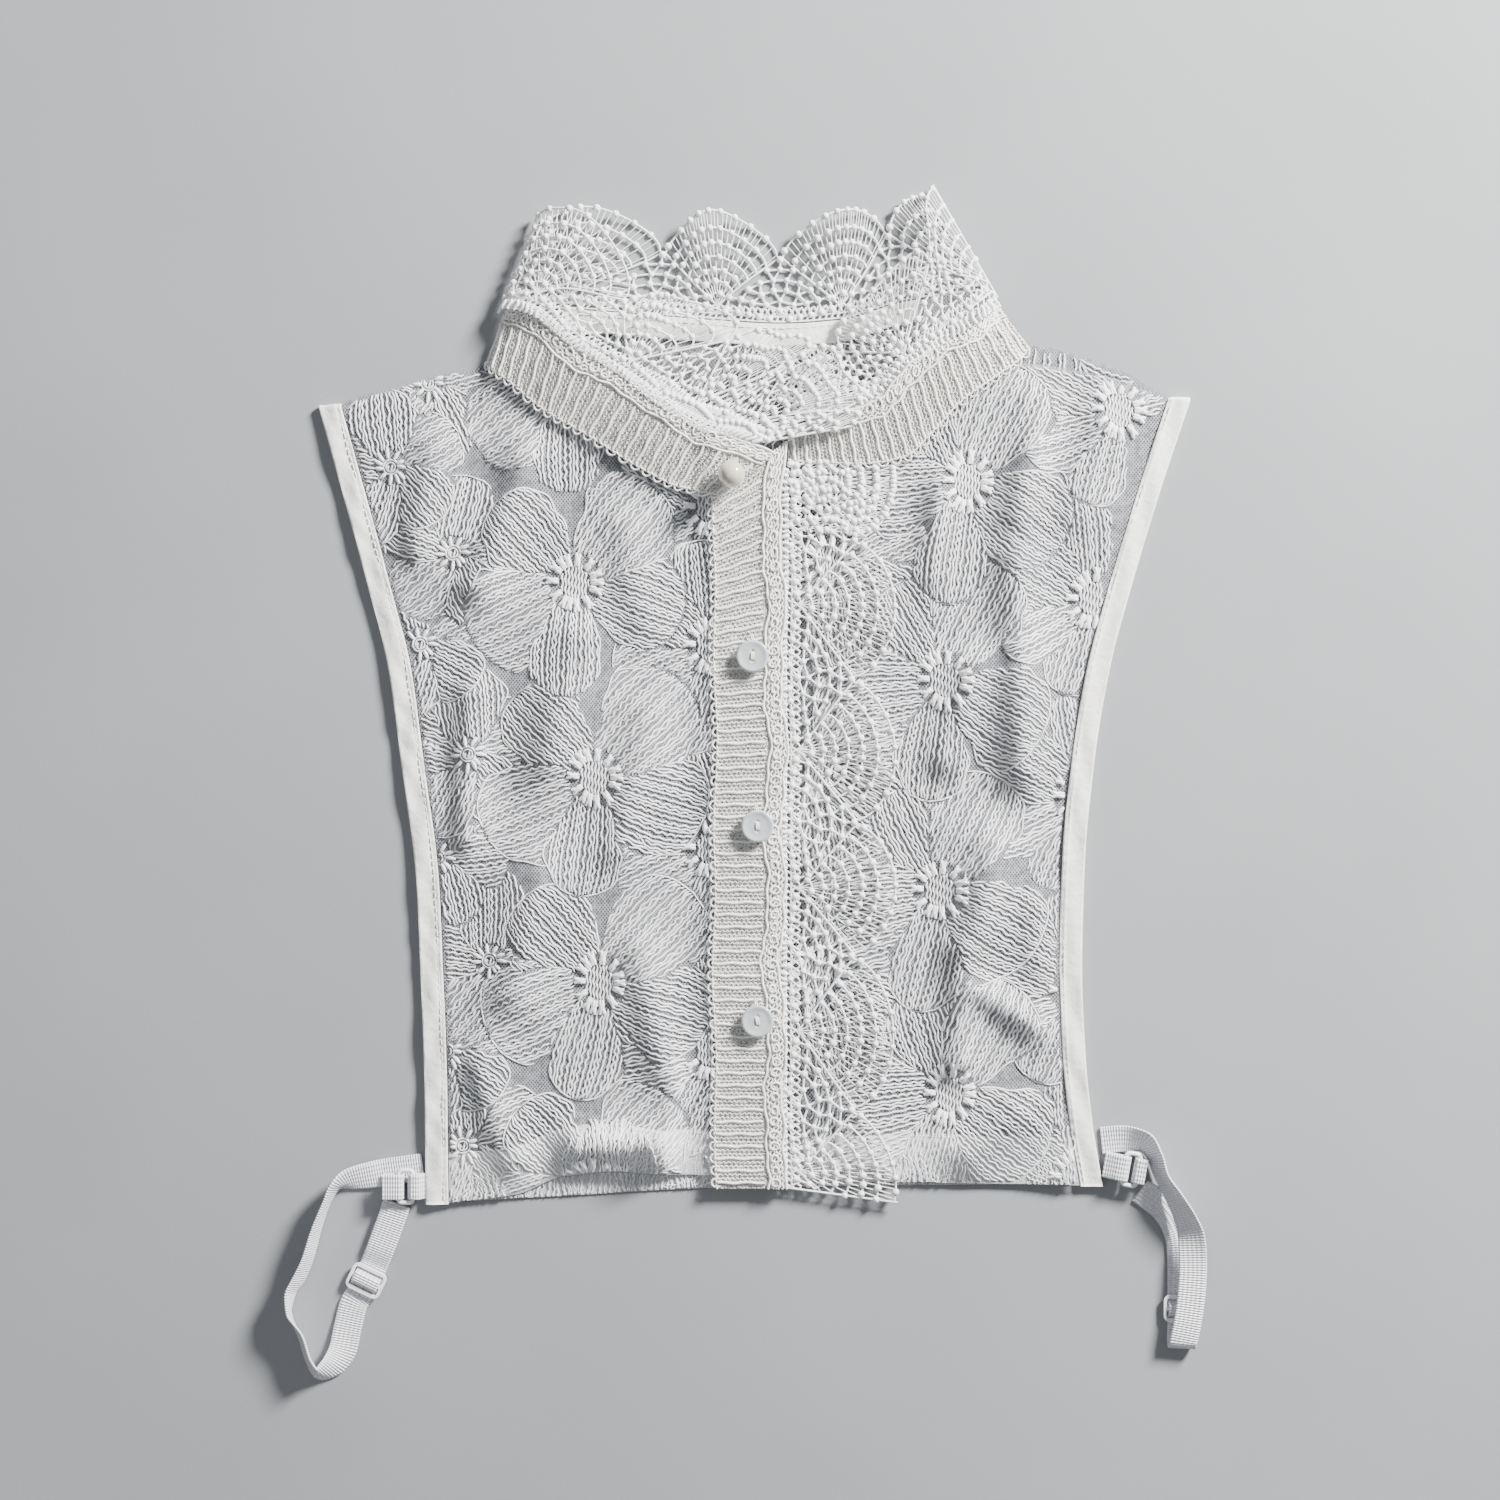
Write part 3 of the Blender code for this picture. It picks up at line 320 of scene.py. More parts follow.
FRILL = (
    (-0.6, 14.4, 111.5, 0.0, 39.0, 112.0, 0.0),
    (0.0, 14.6, 88.0, 0.0, 40.0, 86.0, 0.0),
    (1.0, 14.0, 37.0, 0.0, 39.0, 36.0, 0.0),
    (2.0, 14.0, -15.0, 0.0, 40.0, -15.5, 0.0),
    (3.0, 14.0, -63.0, 0.0, 39.0, -63.5, 0.0),
    (4.0, 14.0, -117.0, 0.0, 39.0, -119.0, 0.0),
    (4.65, 14.2, -147.0, 0.0, 40.0, -150.5, 0.0),
)

# Elastic straps: x, y, z, roll in degrees
LEFT_TO_SLIDER = (
    (-131.4, -167.8, 0.6, 0.0),
    (-130.2, -164.0, 0.6, 0.0),
    (-128.8, -160.5, 0.7, 0.0),
    (-126.7, -154.9, 0.7, 0.0),
    (-126.0, -153.0, 1.45, 0.0),
    (-126.7, -154.9, 2.2, 0.0),
    (-128.6, -160.5, 2.3, 0.0),
    (-131.6, -168.5, 2.3, 0.0),
)
LEFT_TO_BACK = (
    (-141.6, -189.0, 0.6, 0.0),
    (-143.9, -198.0, 0.7, 3.0),
    (-145.5, -205.5, 1.6, 12.0),
    (-149.0, -211.0, 3.0, 32.0),
    (-153.6, -213.6, 4.2, 56.0),
    (-157.4, -208.4, 4.8, 68.0),
    (-160.0, -200.0, 5.0, 70.0),
    (-164.3, -191.0, 5.2, 88.0),
    (-163.8, -185.0, 5.1, 102.0),
    (-160.9, -179.6, 4.9, 110.0),
    (-157.7, -172.5, 5.0, 106.0),
    (-154.6, -162.0, 5.1, 102.0),
    (-151.0, -152.5, 5.1, 98.0),
    (-147.6, -146.4, 4.8, 110.0),
    (-143.2, -143.9, 3.2, 142.0),
    (-135.5, -142.6, 1.2, 168.0),
    (-129.0, -141.6, 0.6, 180.0),
    (-116.7, -139.9, 0.6, 180.0),
)
RIGHT_TO_SLIDER = (
    (142.0, -148.2, 2.2, 20.0),
    (145.6, -150.6, 1.2, 8.0),
    (150.4, -154.4, 0.6, 0.0),
    (154.6, -160.6, 0.6, 0.0),
    (156.6, -168.0, 0.6, 0.0),
    (157.0, -177.0, 0.6, 0.0),
)
RIGHT_TO_BACK = (
    (156.9, -198.5, 0.6, 0.0),
    (156.8, -202.6, 0.8, 0.0),
    (156.8, -204.4, 2.6, 0.0),
    (157.0, -202.4, 4.6, 0.0),
    (158.6, -194.0, 5.4, 0.0),
    (159.8, -185.0, 5.4, 2.0),
    (160.4, -175.0, 5.2, 4.0),
    (159.9, -165.0, 5.6, 22.0),
    (157.4, -157.2, 6.2, 42.0),
    (153.4, -149.6, 6.4, 56.0),
    (149.0, -142.0, 5.4, 66.0),
    (146.4, -134.6, 4.9, 60.0),
    (142.2, -130.2, 3.4, 30.0),
    (136.0, -129.6, 1.4, 8.0),
    (128.2, -130.4, 0.6, 0.0),
)
SLIDER_LENGTH = 10.0
SLIDER_WIDTH = 13.2
SLIDER_THICKNESS = 1.0
SLIDER_BAR = 1.5
SLIDER_SLOT_WIDTH = 10.8
SLIDER_ROWS = 9  # rows that through_slider() gives
SLIDER_LEFT = (-137.0, -180.6, 1.9, 64.0)
SLIDER_RIGHT = (157.0, -190.6, 1.9, 90.0)
RING_LEFT = (-122.4, -146.3, 3.9, 0.0)
RING_RIGHT = (138.5, -140.2, 3.9, -10.0)
RING_HALF = (2.6, 5.8)
LOOP_WIDTH = 9.2
LOOP_RADIUS = 1.5

# Petals of each kind of flower: direction in degrees, length, width
FLOWER_RIGHT = ((64, 43, 33), (-33, 38, 37), (-101, 42, 25), (187, 37, 31), (114, 37, 26))
FLOWER_LEFT = ((47, 43, 35), (-19, 39, 34), (-98, 40, 25), (-153, 41, 35), (133, 38, 30))
FLOWER_SIDE = ((148, 40, 30), (200, 37, 28), (246, 42, 29), (98, 38, 28), (20, 36, 30))
FLOWER_SMALL = ((88, 27, 24), (160, 25, 23), (232, 27, 24), (304, 25, 23), (16, 26, 23))
FLOWER_EDGE = ((150, 38, 32), (200, 38, 28), (250, 36, 24), (97, 37, 24), (20, 28, 20))

# Flowers on each panel, those on top first: kind, x, y, turn, size. Small ones have a ring heart.
ON_LEFT = (
    (FLOWER_LEFT, -61.7, 71.1, 2, 1.04),
    (FLOWER_LEFT, -54.5, 0.9, 0, 1.08),
    (FLOWER_LEFT, -52.7, -72.9, -3, 1.08),
    (FLOWER_LEFT, -64.0, 143.0, 8, 1.0),
    (FLOWER_LEFT, -56.0, -146.0, 0, 1.0),
    (FLOWER_SIDE, -12.4, 48.4, 0, 1.0),
    (FLOWER_SIDE, -12.4, -24.7, 4, 1.0),
    (FLOWER_SIDE, -12.4, -97.7, -3, 1.0),
    (FLOWER_SMALL, -128.0, 112.5, 12, 1.05),
    (FLOWER_SMALL, -105.3, 81.5, -8, 1.05),
    (FLOWER_SMALL, -117.5, 48.8, 20, 1.0),
    (FLOWER_SMALL, -99.9, 9.2, 6, 1.2),
    (FLOWER_SMALL, -111.1, -28.3, -14, 1.0),
    (FLOWER_SMALL, -92.3, -65.0, 4, 1.22),
    (FLOWER_SMALL, -108.0, -98.0, 16, 1.0),
    (FLOWER_SMALL, -102.1, -131.9, 8, 1.25),
    (FLOWER_SMALL, -114.5, 142.8, -4, 1.15),
    (FLOWER_SIDE, -12.4, 98.0, 0, 0.9),
    (FLOWER_SMALL, -132.0, 76.0, 10, 0.9),
)
ON_RIGHT = (
    (FLOWER_RIGHT, 79.7, 107.1, 0, 1.06),
    (FLOWER_RIGHT, 71.5, 35.8, 2, 1.05),
    (FLOWER_RIGHT, 69.7, -39.8, 0, 1.06),
    (FLOWER_RIGHT, 73.3, -113.2, -3, 1.06),
    (FLOWER_EDGE, 134.0, 133.0, 0, 1.0),
    (FLOWER_EDGE, 125.1, 65.0, 3, 1.0),
    (FLOWER_EDGE, 120.5, -6.0, 0, 1.0),
    (FLOWER_EDGE, 119.0, -76.0, -4, 1.0),
    (FLOWER_EDGE, 119.0, -143.0, 0, 1.0),
    (FLOWER_SIDE, 30.0, 78.0, 180, 1.0),
    (FLOWER_SIDE, 26.0, 4.0, 176, 1.0),
    (FLOWER_SIDE, 26.0, -70.0, 182, 1.0),
    (FLOWER_SIDE, 26.0, -140.0, 180, 1.0),
)
ON_BACK = tuple(
    (
        (FLOWER_RIGHT, FLOWER_LEFT)[column % 2],
        -112.0 + 56.0 * column,
        -128.0 + 74.0 * row + 34.0 * (column % 2),
        5 * ((row + column) % 3),
        1.0,
    )
    for column in range(5)
    for row in range(5)
) + tuple(
    (FLOWER_SMALL, -84.0 + 56.0 * column, -96.0 + 74.0 * row, 14 * row, 1.1)
    for column in range(4)
    for row in range(4)
)

# Gathered stretches of each hem: start and end share, length beside the hem's depth, lift
GATHERS_LEFT = ((0.02, 0.17, 0.5, 0.45), (0.35, 0.61, 1.05, 0.75), (0.78, 0.9, 0.7, 0.4))
GATHERS_RIGHT = ((0.45, 0.62, 0.55, 0.4), (0.86, 0.98, 0.5, 0.4))
GATHERS_BACK = ((0.05, 0.95, 0.85, 0.35),)

# Camera and lights
FRAME_WIDTH = 540.0  # across the photograph
FRAME_MIDDLE = (1.26, 11.7)
CAMERA_HEIGHT = 900.0
CAMERA_LIFT = 3.0  # the height over the floor that FRAME_WIDTH is measured at
SENSOR = 36.0


# Curves and heights of the solids


def along(table, at):
    """The columns after the first, smoothly interpolated at values of the first."""
    rows = np.asarray(table, float)
    key, value = rows[:, 0], rows[:, 1:]
    rise = np.diff(value, axis=0) / np.diff(key)[:, None]
    slope = np.zeros_like(value)
    slope[0], slope[-1] = rise[0], rise[-1]
    # The harmonic mean of the slopes on each side, so that nothing overshoots
    product = rise[1:] * rise[:-1]
    total = rise[1:] + rise[:-1]
    slope[1:-1] = np.where(product > 0, 2 * product / np.where(total == 0, 1, total), 0)
    at = np.clip(np.asarray(at, float), key[0], key[-1])
    i = np.clip(np.searchsorted(key, at, side="right") - 1, 0, len(key) - 2)
    step = (key[i + 1] - key[i])[..., None]
    t = (at - key[i])[..., None] / step
    return (
        value[i] * (1 + 2 * t) * (1 - t) ** 2
        + value[i + 1] * t * t * (3 - 2 * t)
        + step * t * (1 - t) * (slope[i] * (1 - t) - slope[i + 1] * t)
    )


def along_rows(table, at):
    """All columns, smoothly interpolated at row numbers."""
    return along([(i, *row) for i, row in enumerate(table)], at)


def ease(t):
    """0 below 0, 1 above 1, and a smooth rise between."""
    t = np.clip(t, 0, 1)
    return t * t * (3 - 2 * t)


def ridges(folds, x, y):
    """Height of soft ridges, each a round-ended swelling between its two points."""
    height = np.zeros_like(x)
    for x0, y0, x1, y1, half_width, rise in folds:
        length = math.hypot(x1 - x0, y1 - y0)
        t = ((x - x0) * (x1 - x0) + (y - y0) * (y1 - y0)) / length**2
        t = np.clip(t, 0, 1)
        away = np.hypot(x - x0 - t * (x1 - x0), y - y0 - t * (y1 - y0))
        height += rise * np.exp(-((away / half_width) ** 2))
    return height


def neck_rise(neck, x, y):
    """How far the cloth is lifted by the collar that stands on its neck seam."""
    line = along_rows(neck, np.linspace(0, len(neck) - 1, 60))
    nearest = np.zeros(x.shape, int)
    distance = np.full(x.shape, 1e9)
    for number, (line_x, line_y, _) in enumerate(line):
        away = np.hypot(x - line_x, y - line_y)
        closer = away < distance
        distance = np.where(closer, away, distance)
        nearest = np.where(closer, number, nearest)
    return line[nearest, 2] * np.exp(-((distance / NECK_SPREAD) ** 2))


def left_edge(y):
    return along(LEFT_EDGE, y)[..., 0]


def right_edge(y):
    return along(RIGHT_EDGE, y)[..., 0]


def fine_creases(x, y):
    """Shallow uneven creases that the solids are too coarse for."""
    slow = np.sin(x / 13.0 + 1.7 * np.sin(y / 31.0)) * np.sin(y / 19.0 + 0.8 * np.sin(x / 23.0))
    quick = np.sin(x / 5.3 + 2.1 * np.sin(y / 17.0)) * np.sin(y / 8.7 + 1.3 * np.sin(x / 11.0))
    # None under the trims and the frill, which lie close on the cloth
    bare = ease((PLACKET_LEFT - 4 - x) / 14) + ease((x - 56) / 14)
    below = ease((88 + 0.56 * (np.abs(x) - 13) - y) / 16)
    inside = ease((x - left_edge(y) - BINDING_WIDTH) / 14)
    inside = inside * ease((right_edge(y) - BINDING_WIDTH - x) / 14)
    crests = ridges(FOLD_CRESTS, x, y) * inside
    return (1.5 * (0.5 + 0.5 * slow) ** 1.5 + 0.22 * quick - 0.2 + crests) * bare * below


def left_front_height(x, y):
    """Underside of the left front."""
    calm = ease((x - left_edge(y) - BINDING_WIDTH) / 14) * ease((PLACKET_LEFT - 3 - x) / 16)
    lap = OVERLAP_STEP * ease((x - PLACKET_LEFT + 9) / 9)
    hem = ease((y + 152) / 10)
    folds = ridges(FOLDS_LEFT, x, y) * calm * hem
    rise = neck_rise(NECK_LEFT, x, y)
    return FRONT_LIFT + lap + folds * ease(1 - rise / 4) + rise


def right_front_height(x, y):
    """Underside of the right front."""
    calm = ease((right_edge(y) - BINDING_WIDTH - x) / 14) * ease((x - 54) / 16)
    hem = ease((y + 150) / 10)
    folds = ridges(FOLDS_RIGHT, x, y) * calm * hem
    rise = neck_rise(NECK_RIGHT, x, y)
    return FRONT_LIFT + folds * ease(1 - rise / 4) + rise


def ground(x, y):
    return x * 0


def lace_width(scallop):
    """From the seam to the scalloped edge, at a scallop number."""
    phase = np.mod(scallop, 1.0)
    return LACE_VALLEY + SCALLOP_DEPTH * np.sin(np.pi * phase) ** SCALLOP_ROUNDNESS


# Meshes


def drawing_offset():
    """From the drawing's origin to the frame's, taken from where the pearl is."""
    low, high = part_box("pearl_button")
    middle = [(low[i] + high[i]) / 2 / MM for i in range(2)]
    return np.array([middle[0] - PEARL[0], middle[1] - PEARL[1], 0.0])


OFFSET = drawing_offset()


def add_object(name, data):
    """An object in the scene, with its mesh, curve, light or camera."""
    made = bpy.data.objects.new(name, data)
    bpy.context.scene.collection.objects.link(made)
    return made


def add_piece(name, points, faces, look, nodes=(), slot=None, uv=None):
    """A smooth mesh from points in drawing millimetres. It rides on the body and stands for nodes."""
    mesh = bpy.data.meshes.new(name)
    metres = (np.asarray(points, float) + OFFSET) * MM
    metres[:, 2] = np.maximum(metres[:, 2], LOWEST * MM)
    mesh.from_pydata(metres.tolist(), [], [list(face) for face in faces])
    mesh.materials.append(look)
    mesh.shade_smooth()
    if uv is not None:
        layer = mesh.uv_layers.new(name="Cloth")
        corner = np.empty(len(mesh.loops), np.int32)
        mesh.loops.foreach_get("vertex_index", corner)
        layer.data.foreach_set("uv", np.asarray(uv, float)[corner].ravel())
    piece = add_object(name, mesh)
    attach(piece, "root")
    if nodes:
        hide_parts(*nodes)
    return piece


def grid_faces(rows, columns, round_rows=False, round_columns=False):
    """Quads of a grid of points. round_rows and round_columns join its last row or column to the first."""
    i = np.arange(rows if round_rows else rows - 1)[:, None]
    j = np.arange(columns if round_columns else columns - 1)[None, :]
    a, b = i * columns + j, ((i + 1) % rows) * columns + j
    c = ((i + 1) % rows) * columns + (j + 1) % columns
    d = i * columns + (j + 1) % columns
    return np.stack([a, b, c, d], -1).reshape(-1, 4)


def add_grid(name, points, look, nodes=(), slot=None):
    """A piece through a grid of points."""
    faces = grid_faces(*points.shape[:2])
    return add_piece(name, points.reshape(-1, 3), faces, look, nodes, slot)


def joined(parts):
    """One set of points and faces from several."""
    points, faces, start = [], [], 0
    for part_points, part_faces in parts:
        points.append(part_points)
        faces.append(part_faces + start)
        start += len(part_points)
    return np.concatenate(points), np.concatenate(faces)


def tube(path, radius, sides=3, closed=False):
    """A round thread along a path of points. radius is one number, or one for each point."""
    path = np.asarray(path, float)
    if closed:
        ahead = np.roll(path, -1, axis=0) - np.roll(path, 1, axis=0)
    else:
        ahead = np.gradient(path, axis=0)
    ahead = ahead / np.maximum(np.linalg.norm(ahead, axis=1, keepdims=True), 1e-9)
    side = np.stack([ahead[:, 1], -ahead[:, 0], np.zeros(len(path))], -1)
    weight = np.linalg.norm(side, axis=1, keepdims=True)
    side = np.where(weight > 0.05, side / np.maximum(weight, 1e-9), (1.0, 0.0, 0.0))
    over = np.cross(side, ahead)
    turn = np.pi / 2 + 2 * np.pi * np.arange(sides) / sides
    wide = np.broadcast_to(radius, len(path))[:, None, None]
    ring = np.cos(turn)[None, :, None] * side[:, None] + np.sin(turn)[None, :, None] * over[:, None]
    points = path[:, None] + wide * ring
    return points.reshape(-1, 3), grid_faces(len(path), sides, closed, True)


def knot_shape():
    """A cube with its sides in quarters, pulled round: points and quads of a unit ball."""
    grid = np.linspace(-1, 1, 3)
    sides = []
    for axis in range(3):
        for sign in (-1, 1):
            u, v = np.meshgrid(grid, grid, indexing="ij")
            point = np.zeros((3, 3, 3))
            point[..., axis] = sign
            point[..., (axis + 1) % 3] = u * sign
            point[..., (axis + 2) % 3] = v
            point /= np.linalg.norm(point, axis=-1, keepdims=True)
            sides.append((point.reshape(-1, 3), grid_faces(3, 3)))
    points, faces = joined(sides)
    _, first, index = np.unique(
        np.round(points, 6), axis=0, return_index=True, return_inverse=True
    )
    return points[first], index.reshape(-1)[faces]


KNOT_POINTS, KNOT_FACES = knot_shape()


def knot(middle, radius, flat=0.8):
    return np.asarray(middle) + KNOT_POINTS * radius * (1, 1, flat), KNOT_FACES


BAND_TOP = np.array([-0.95, -0.8, -0.6, -0.4, -0.2, 0, 0.2, 0.4, 0.52, 0.62, 0.72, 0.84, 0.95])
BAND_ACROSS = np.concatenate([[-1], BAND_TOP, [1], BAND_TOP[::-1]])


def band(path, half, wall, folds=None):
    """A flat band. half points from its middle line to one side, and folds are heights across it."""
    ahead = np.gradient(path, axis=0)
    normal = np.cross(ahead, half)
    normal /= np.maximum(np.linalg.norm(normal, axis=1, keepdims=True), 1e-9)
    across = BAND_ACROSS
    top = len(BAND_TOP)
    over = np.array([0] + [1] * top + [0] + [-1] * top) * wall / 2
    relief = np.zeros((len(path), len(across))) if folds is None else folds
    height = over[None, :] + relief
    points = path[:, None] + half[:, None] * across[None, :, None] + normal[:, None] * height[..., None]
    length = np.concatenate([[0], np.cumsum(np.linalg.norm(np.diff(path, axis=0), axis=1))])
    width = np.linalg.norm(half, axis=1).max()
    uv = np.stack(
        [
            np.repeat(length[:, None], len(across), 1),
            np.repeat((across * width)[None, :], len(path), 0),
        ],
        -1,
    )
    count = len(across)
    faces = grid_faces(len(path), count, False, True)
    ends = []
    for start in (0, (len(path) - 1) * count):
        cap = [
            (start + i, start + i + 1, start + count - 1 - i, start + (count - i) % count)
            for i in range(top + 1)
        ]
        ends += [face if start else face[::-1] for face in cap]
    clean = [face for face in ends if len(set(face)) == 4]
    faces = np.concatenate([faces, np.array(clean)])
    return points.reshape(-1, 3), faces, uv.reshape(-1, 2) * MM


# Materials


def new_material(name, roughness, **sockets):
    """A material with its shader's plain values set. Returns it, its node tree and its shader."""
    made = bpy.data.materials.new(name)
    made.use_nodes = True
    tree = made.node_tree
    shader = tree.nodes["Principled BSDF"]
    shader.inputs["Roughness"].default_value = roughness
    for key, value in sockets.items():
        shader.inputs[key.replace("_", " ")].default_value = value
    return made, tree, shader


def add_node(tree, kind, settings=None, **inputs):
    """A node with its settings, and its inputs given by name as a value or as another node's output."""
    made = tree.nodes.new(kind)
    for key, value in (settings or {}).items():
        setattr(made, key, value)
    for key, value in inputs.items():
        socket = made.inputs[int(key[1:])] if key[0] == "i" and key[1:].isdigit() else made.inputs[key]
        if isinstance(value, bpy.types.NodeSocket):
            tree.links.new(value, socket)
        else:
            socket.default_value = value
    return made


def millimetres(tree, stretch=(1.0, 1.0, 1.0), source="Object"):
    """Texture coordinates in millimetres."""
    place = add_node(tree, "ShaderNodeTexCoord")
    scale = tuple(1000.0 * s for s in stretch)
    return add_node(tree, "ShaderNodeMapping", Vector=place.outputs[source], Scale=scale).outputs[0]


def calculate(tree, operation, *values):
    """The result of one step of arithmetic on values or other nodes' outputs."""
    inputs = {f"i{index}": value for index, value in enumerate(values)}
    return add_node(tree, "ShaderNodeMath", {"operation": operation}, **inputs).outputs[0]


def ranged(tree, value, low=0.0, high=1.0, to_low=0.0, to_high=1.0):
    """A value moved from one range to another."""
    made = add_node(tree, "ShaderNodeMapRange", i0=value, i1=low, i2=high, i3=to_low, i4=to_high)
    return made.outputs[0]


def noise(tree, vector, scale, detail=3.0):
    found = add_node(tree, "ShaderNodeTexNoise", Vector=vector, Scale=scale, Detail=detail)
    return found.outputs["Fac"]


def tint(tree, factor, dark, light):
    """A colour between two, by a factor."""
    ramp = add_node(tree, "ShaderNodeValToRGB", i0=factor)
    ramp.color_ramp.elements[0].position = 0.32
    ramp.color_ramp.elements[0].color = (*dark, 1)
    ramp.color_ramp.elements[1].position = 0.68
    ramp.color_ramp.elements[1].color = (*light, 1)
    return ramp.outputs[0]


def bumped(tree, shader, height, distance, strength=1.0):
    bump = add_node(
        tree, "ShaderNodeBump", Height=height, Distance=distance * MM, Strength=strength
    )
    tree.links.new(bump.outputs[0], shader.inputs["Normal"])


def thread_material(name, dark, light, roughness=0.6, grain=1.1, relief=0.12):
    """Soft twisted thread: fine uneven relief, slight patches of tone and a little sheen."""
    made, tree, shader = new_material(name, roughness, Sheen_Weight=0.25, Sheen_Roughness=0.4)
    vector = millimetres(tree)
    patches = noise(tree, vector, 0.05, 2.0)
    tree.links.new(tint(tree, patches, dark, light), shader.inputs["Base Color"])
    bumped(tree, shader, noise(tree, vector, grain, 2.0), relief)
    return made


def diagonal_lines(tree, vector, pitch, direction):
    """Fine lines as values from 0 to 1, running down to the right or to the left."""
    parts = add_node(tree, "ShaderNodeSeparateXYZ", i0=vector)
    slant = calculate(tree, "MULTIPLY_ADD", parts.outputs[1], direction, parts.outputs[0])
    wave = calculate(tree, "MULTIPLY", slant, math.pi / pitch)
    return calculate(tree, "ABSOLUTE", calculate(tree, "SINE", wave))


def net_material():
    """Fine see-through net, whose cells run diagonally, painted dark grey with painted shade in its holes.
    """
    made, tree, shader = new_material("Net", 0.8, Sheen_Weight=0.15)
    vector = millimetres(tree)
    one = diagonal_lines(tree, vector, 1.2, 0.8)
    other = diagonal_lines(tree, vector, 1.2, -0.8)
    threads = calculate(tree, "MINIMUM", one, other)
    tree.links.new(ranged(tree, threads, 0.15, 0.8, 0.96, 0.55), shader.inputs["Alpha"])
    patches = noise(tree, vector, 0.5, 2.0)
    shade = ranged(tree, calculate(tree, "MULTIPLY_ADD", threads, 0.8, patches), 0.3, 1.2)
    # The white net is painted dark grey and darkest in its holes: painted shade for the gaps between its
    # threads.
    colour = tint(tree, shade, (0.40, 0.405, 0.425), (0.10, 0.105, 0.12))
    tree.links.new(colour, shader.inputs["Base Color"])
    bumped(tree, shader, threads, 0.1, 0.5)
    return made


def knit_material():
    """The close ground of the ribbed trim: rows of tiny loops, with painted shade as dark specks between
    them.
    """
    made, tree, shader = new_material("Knit ground", 0.75, Sheen_Weight=0.2)
    vector = millimetres(tree)
    cells = add_node(tree, "ShaderNodeTexVoronoi", Vector=vector, Scale=1.15, Randomness=0.75)
    distance = cells.outputs["Distance"]
    # Darker away from each loop's middle: painted shade in the gaps between the loops.
    colour = tint(tree, distance, (0.74, 0.73, 0.70), (0.34, 0.33, 0.31))
    tree.links.new(colour, shader.inputs["Base Color"])
    bumped(tree, shader, distance, -0.5)
    return made


def satin_material(name, dark, light, roughness):
    """Smooth tape: a faint weave, slow patches of painted sheen in its colour, and soft creases."""
    made, tree, shader = new_material(
        name, roughness, Sheen_Weight=0.3, Sheen_Roughness=0.3, Specular_IOR_Level=0.4
    )
    vector = millimetres(tree)
    patches = noise(tree, vector, 0.09, 3.0)
    # Slow lighter and darker patches in the colour: painted sheen.
    tree.links.new(tint(tree, patches, dark, light), shader.inputs["Base Color"])
    weave = noise(tree, millimetres(tree, (1.0, 0.35, 1.0)), 2.4, 2.0)
    creases = noise(tree, vector, 0.22, 2.0)
    bumped(tree, shader, calculate(tree, "MULTIPLY_ADD", creases, 5.0, weave), 0.1)
    return made


def elastic_material():
    """Woven elastic: fine ridges across and a few lines along, painted darker in their grooves and lighter
    on their crests.
    """
    made, tree, shader = new_material("Elastic", 0.42, Sheen_Weight=0.35, Sheen_Roughness=0.35)
    place = add_node(tree, "ShaderNodeTexCoord")
    parts = add_node(tree, "ShaderNodeSeparateXYZ", i0=place.outputs["UV"])
    waves = []
    for axis, pitch in ((0, 0.9), (1, 1.6)):
        scaled = calculate(tree, "MULTIPLY", parts.outputs[axis], 2 * math.pi / pitch / MM)
        waves.append(calculate(tree, "SINE", scaled))
    both = calculate(tree, "MULTIPLY_ADD", waves[1], 0.6, waves[0])
    share = ranged(tree, both, -1.6, 1.6)
    # The colour follows the relief: painted shade in the grooves and painted light on the crests.
    colour = tint(tree, share, (0.60, 0.61, 0.66), (0.80, 0.80, 0.83))
    tree.links.new(colour, shader.inputs["Base Color"])
    bumped(tree, shader, both, 0.12)
    return made


def plastic_material(name, dark, light, roughness, **sockets):
    """Moulded plastic: slow changes of tone and a faintly uneven gloss."""
    made, tree, shader = new_material(name, roughness, **sockets)
    vector = millimetres(tree)
    patches = noise(tree, vector, 0.25, 3.0)
    tree.links.new(tint(tree, patches, dark, light), shader.inputs["Base Color"])
    uneven = noise(tree, vector, 0.7, 3.0)
    gloss = ranged(tree, uneven, to_low=roughness * 0.8, to_high=roughness * 1.25)
    tree.links.new(gloss, shader.inputs["Roughness"])
    bumped(tree, shader, noise(tree, vector, 0.6, 2.0), 0.04)
    return made


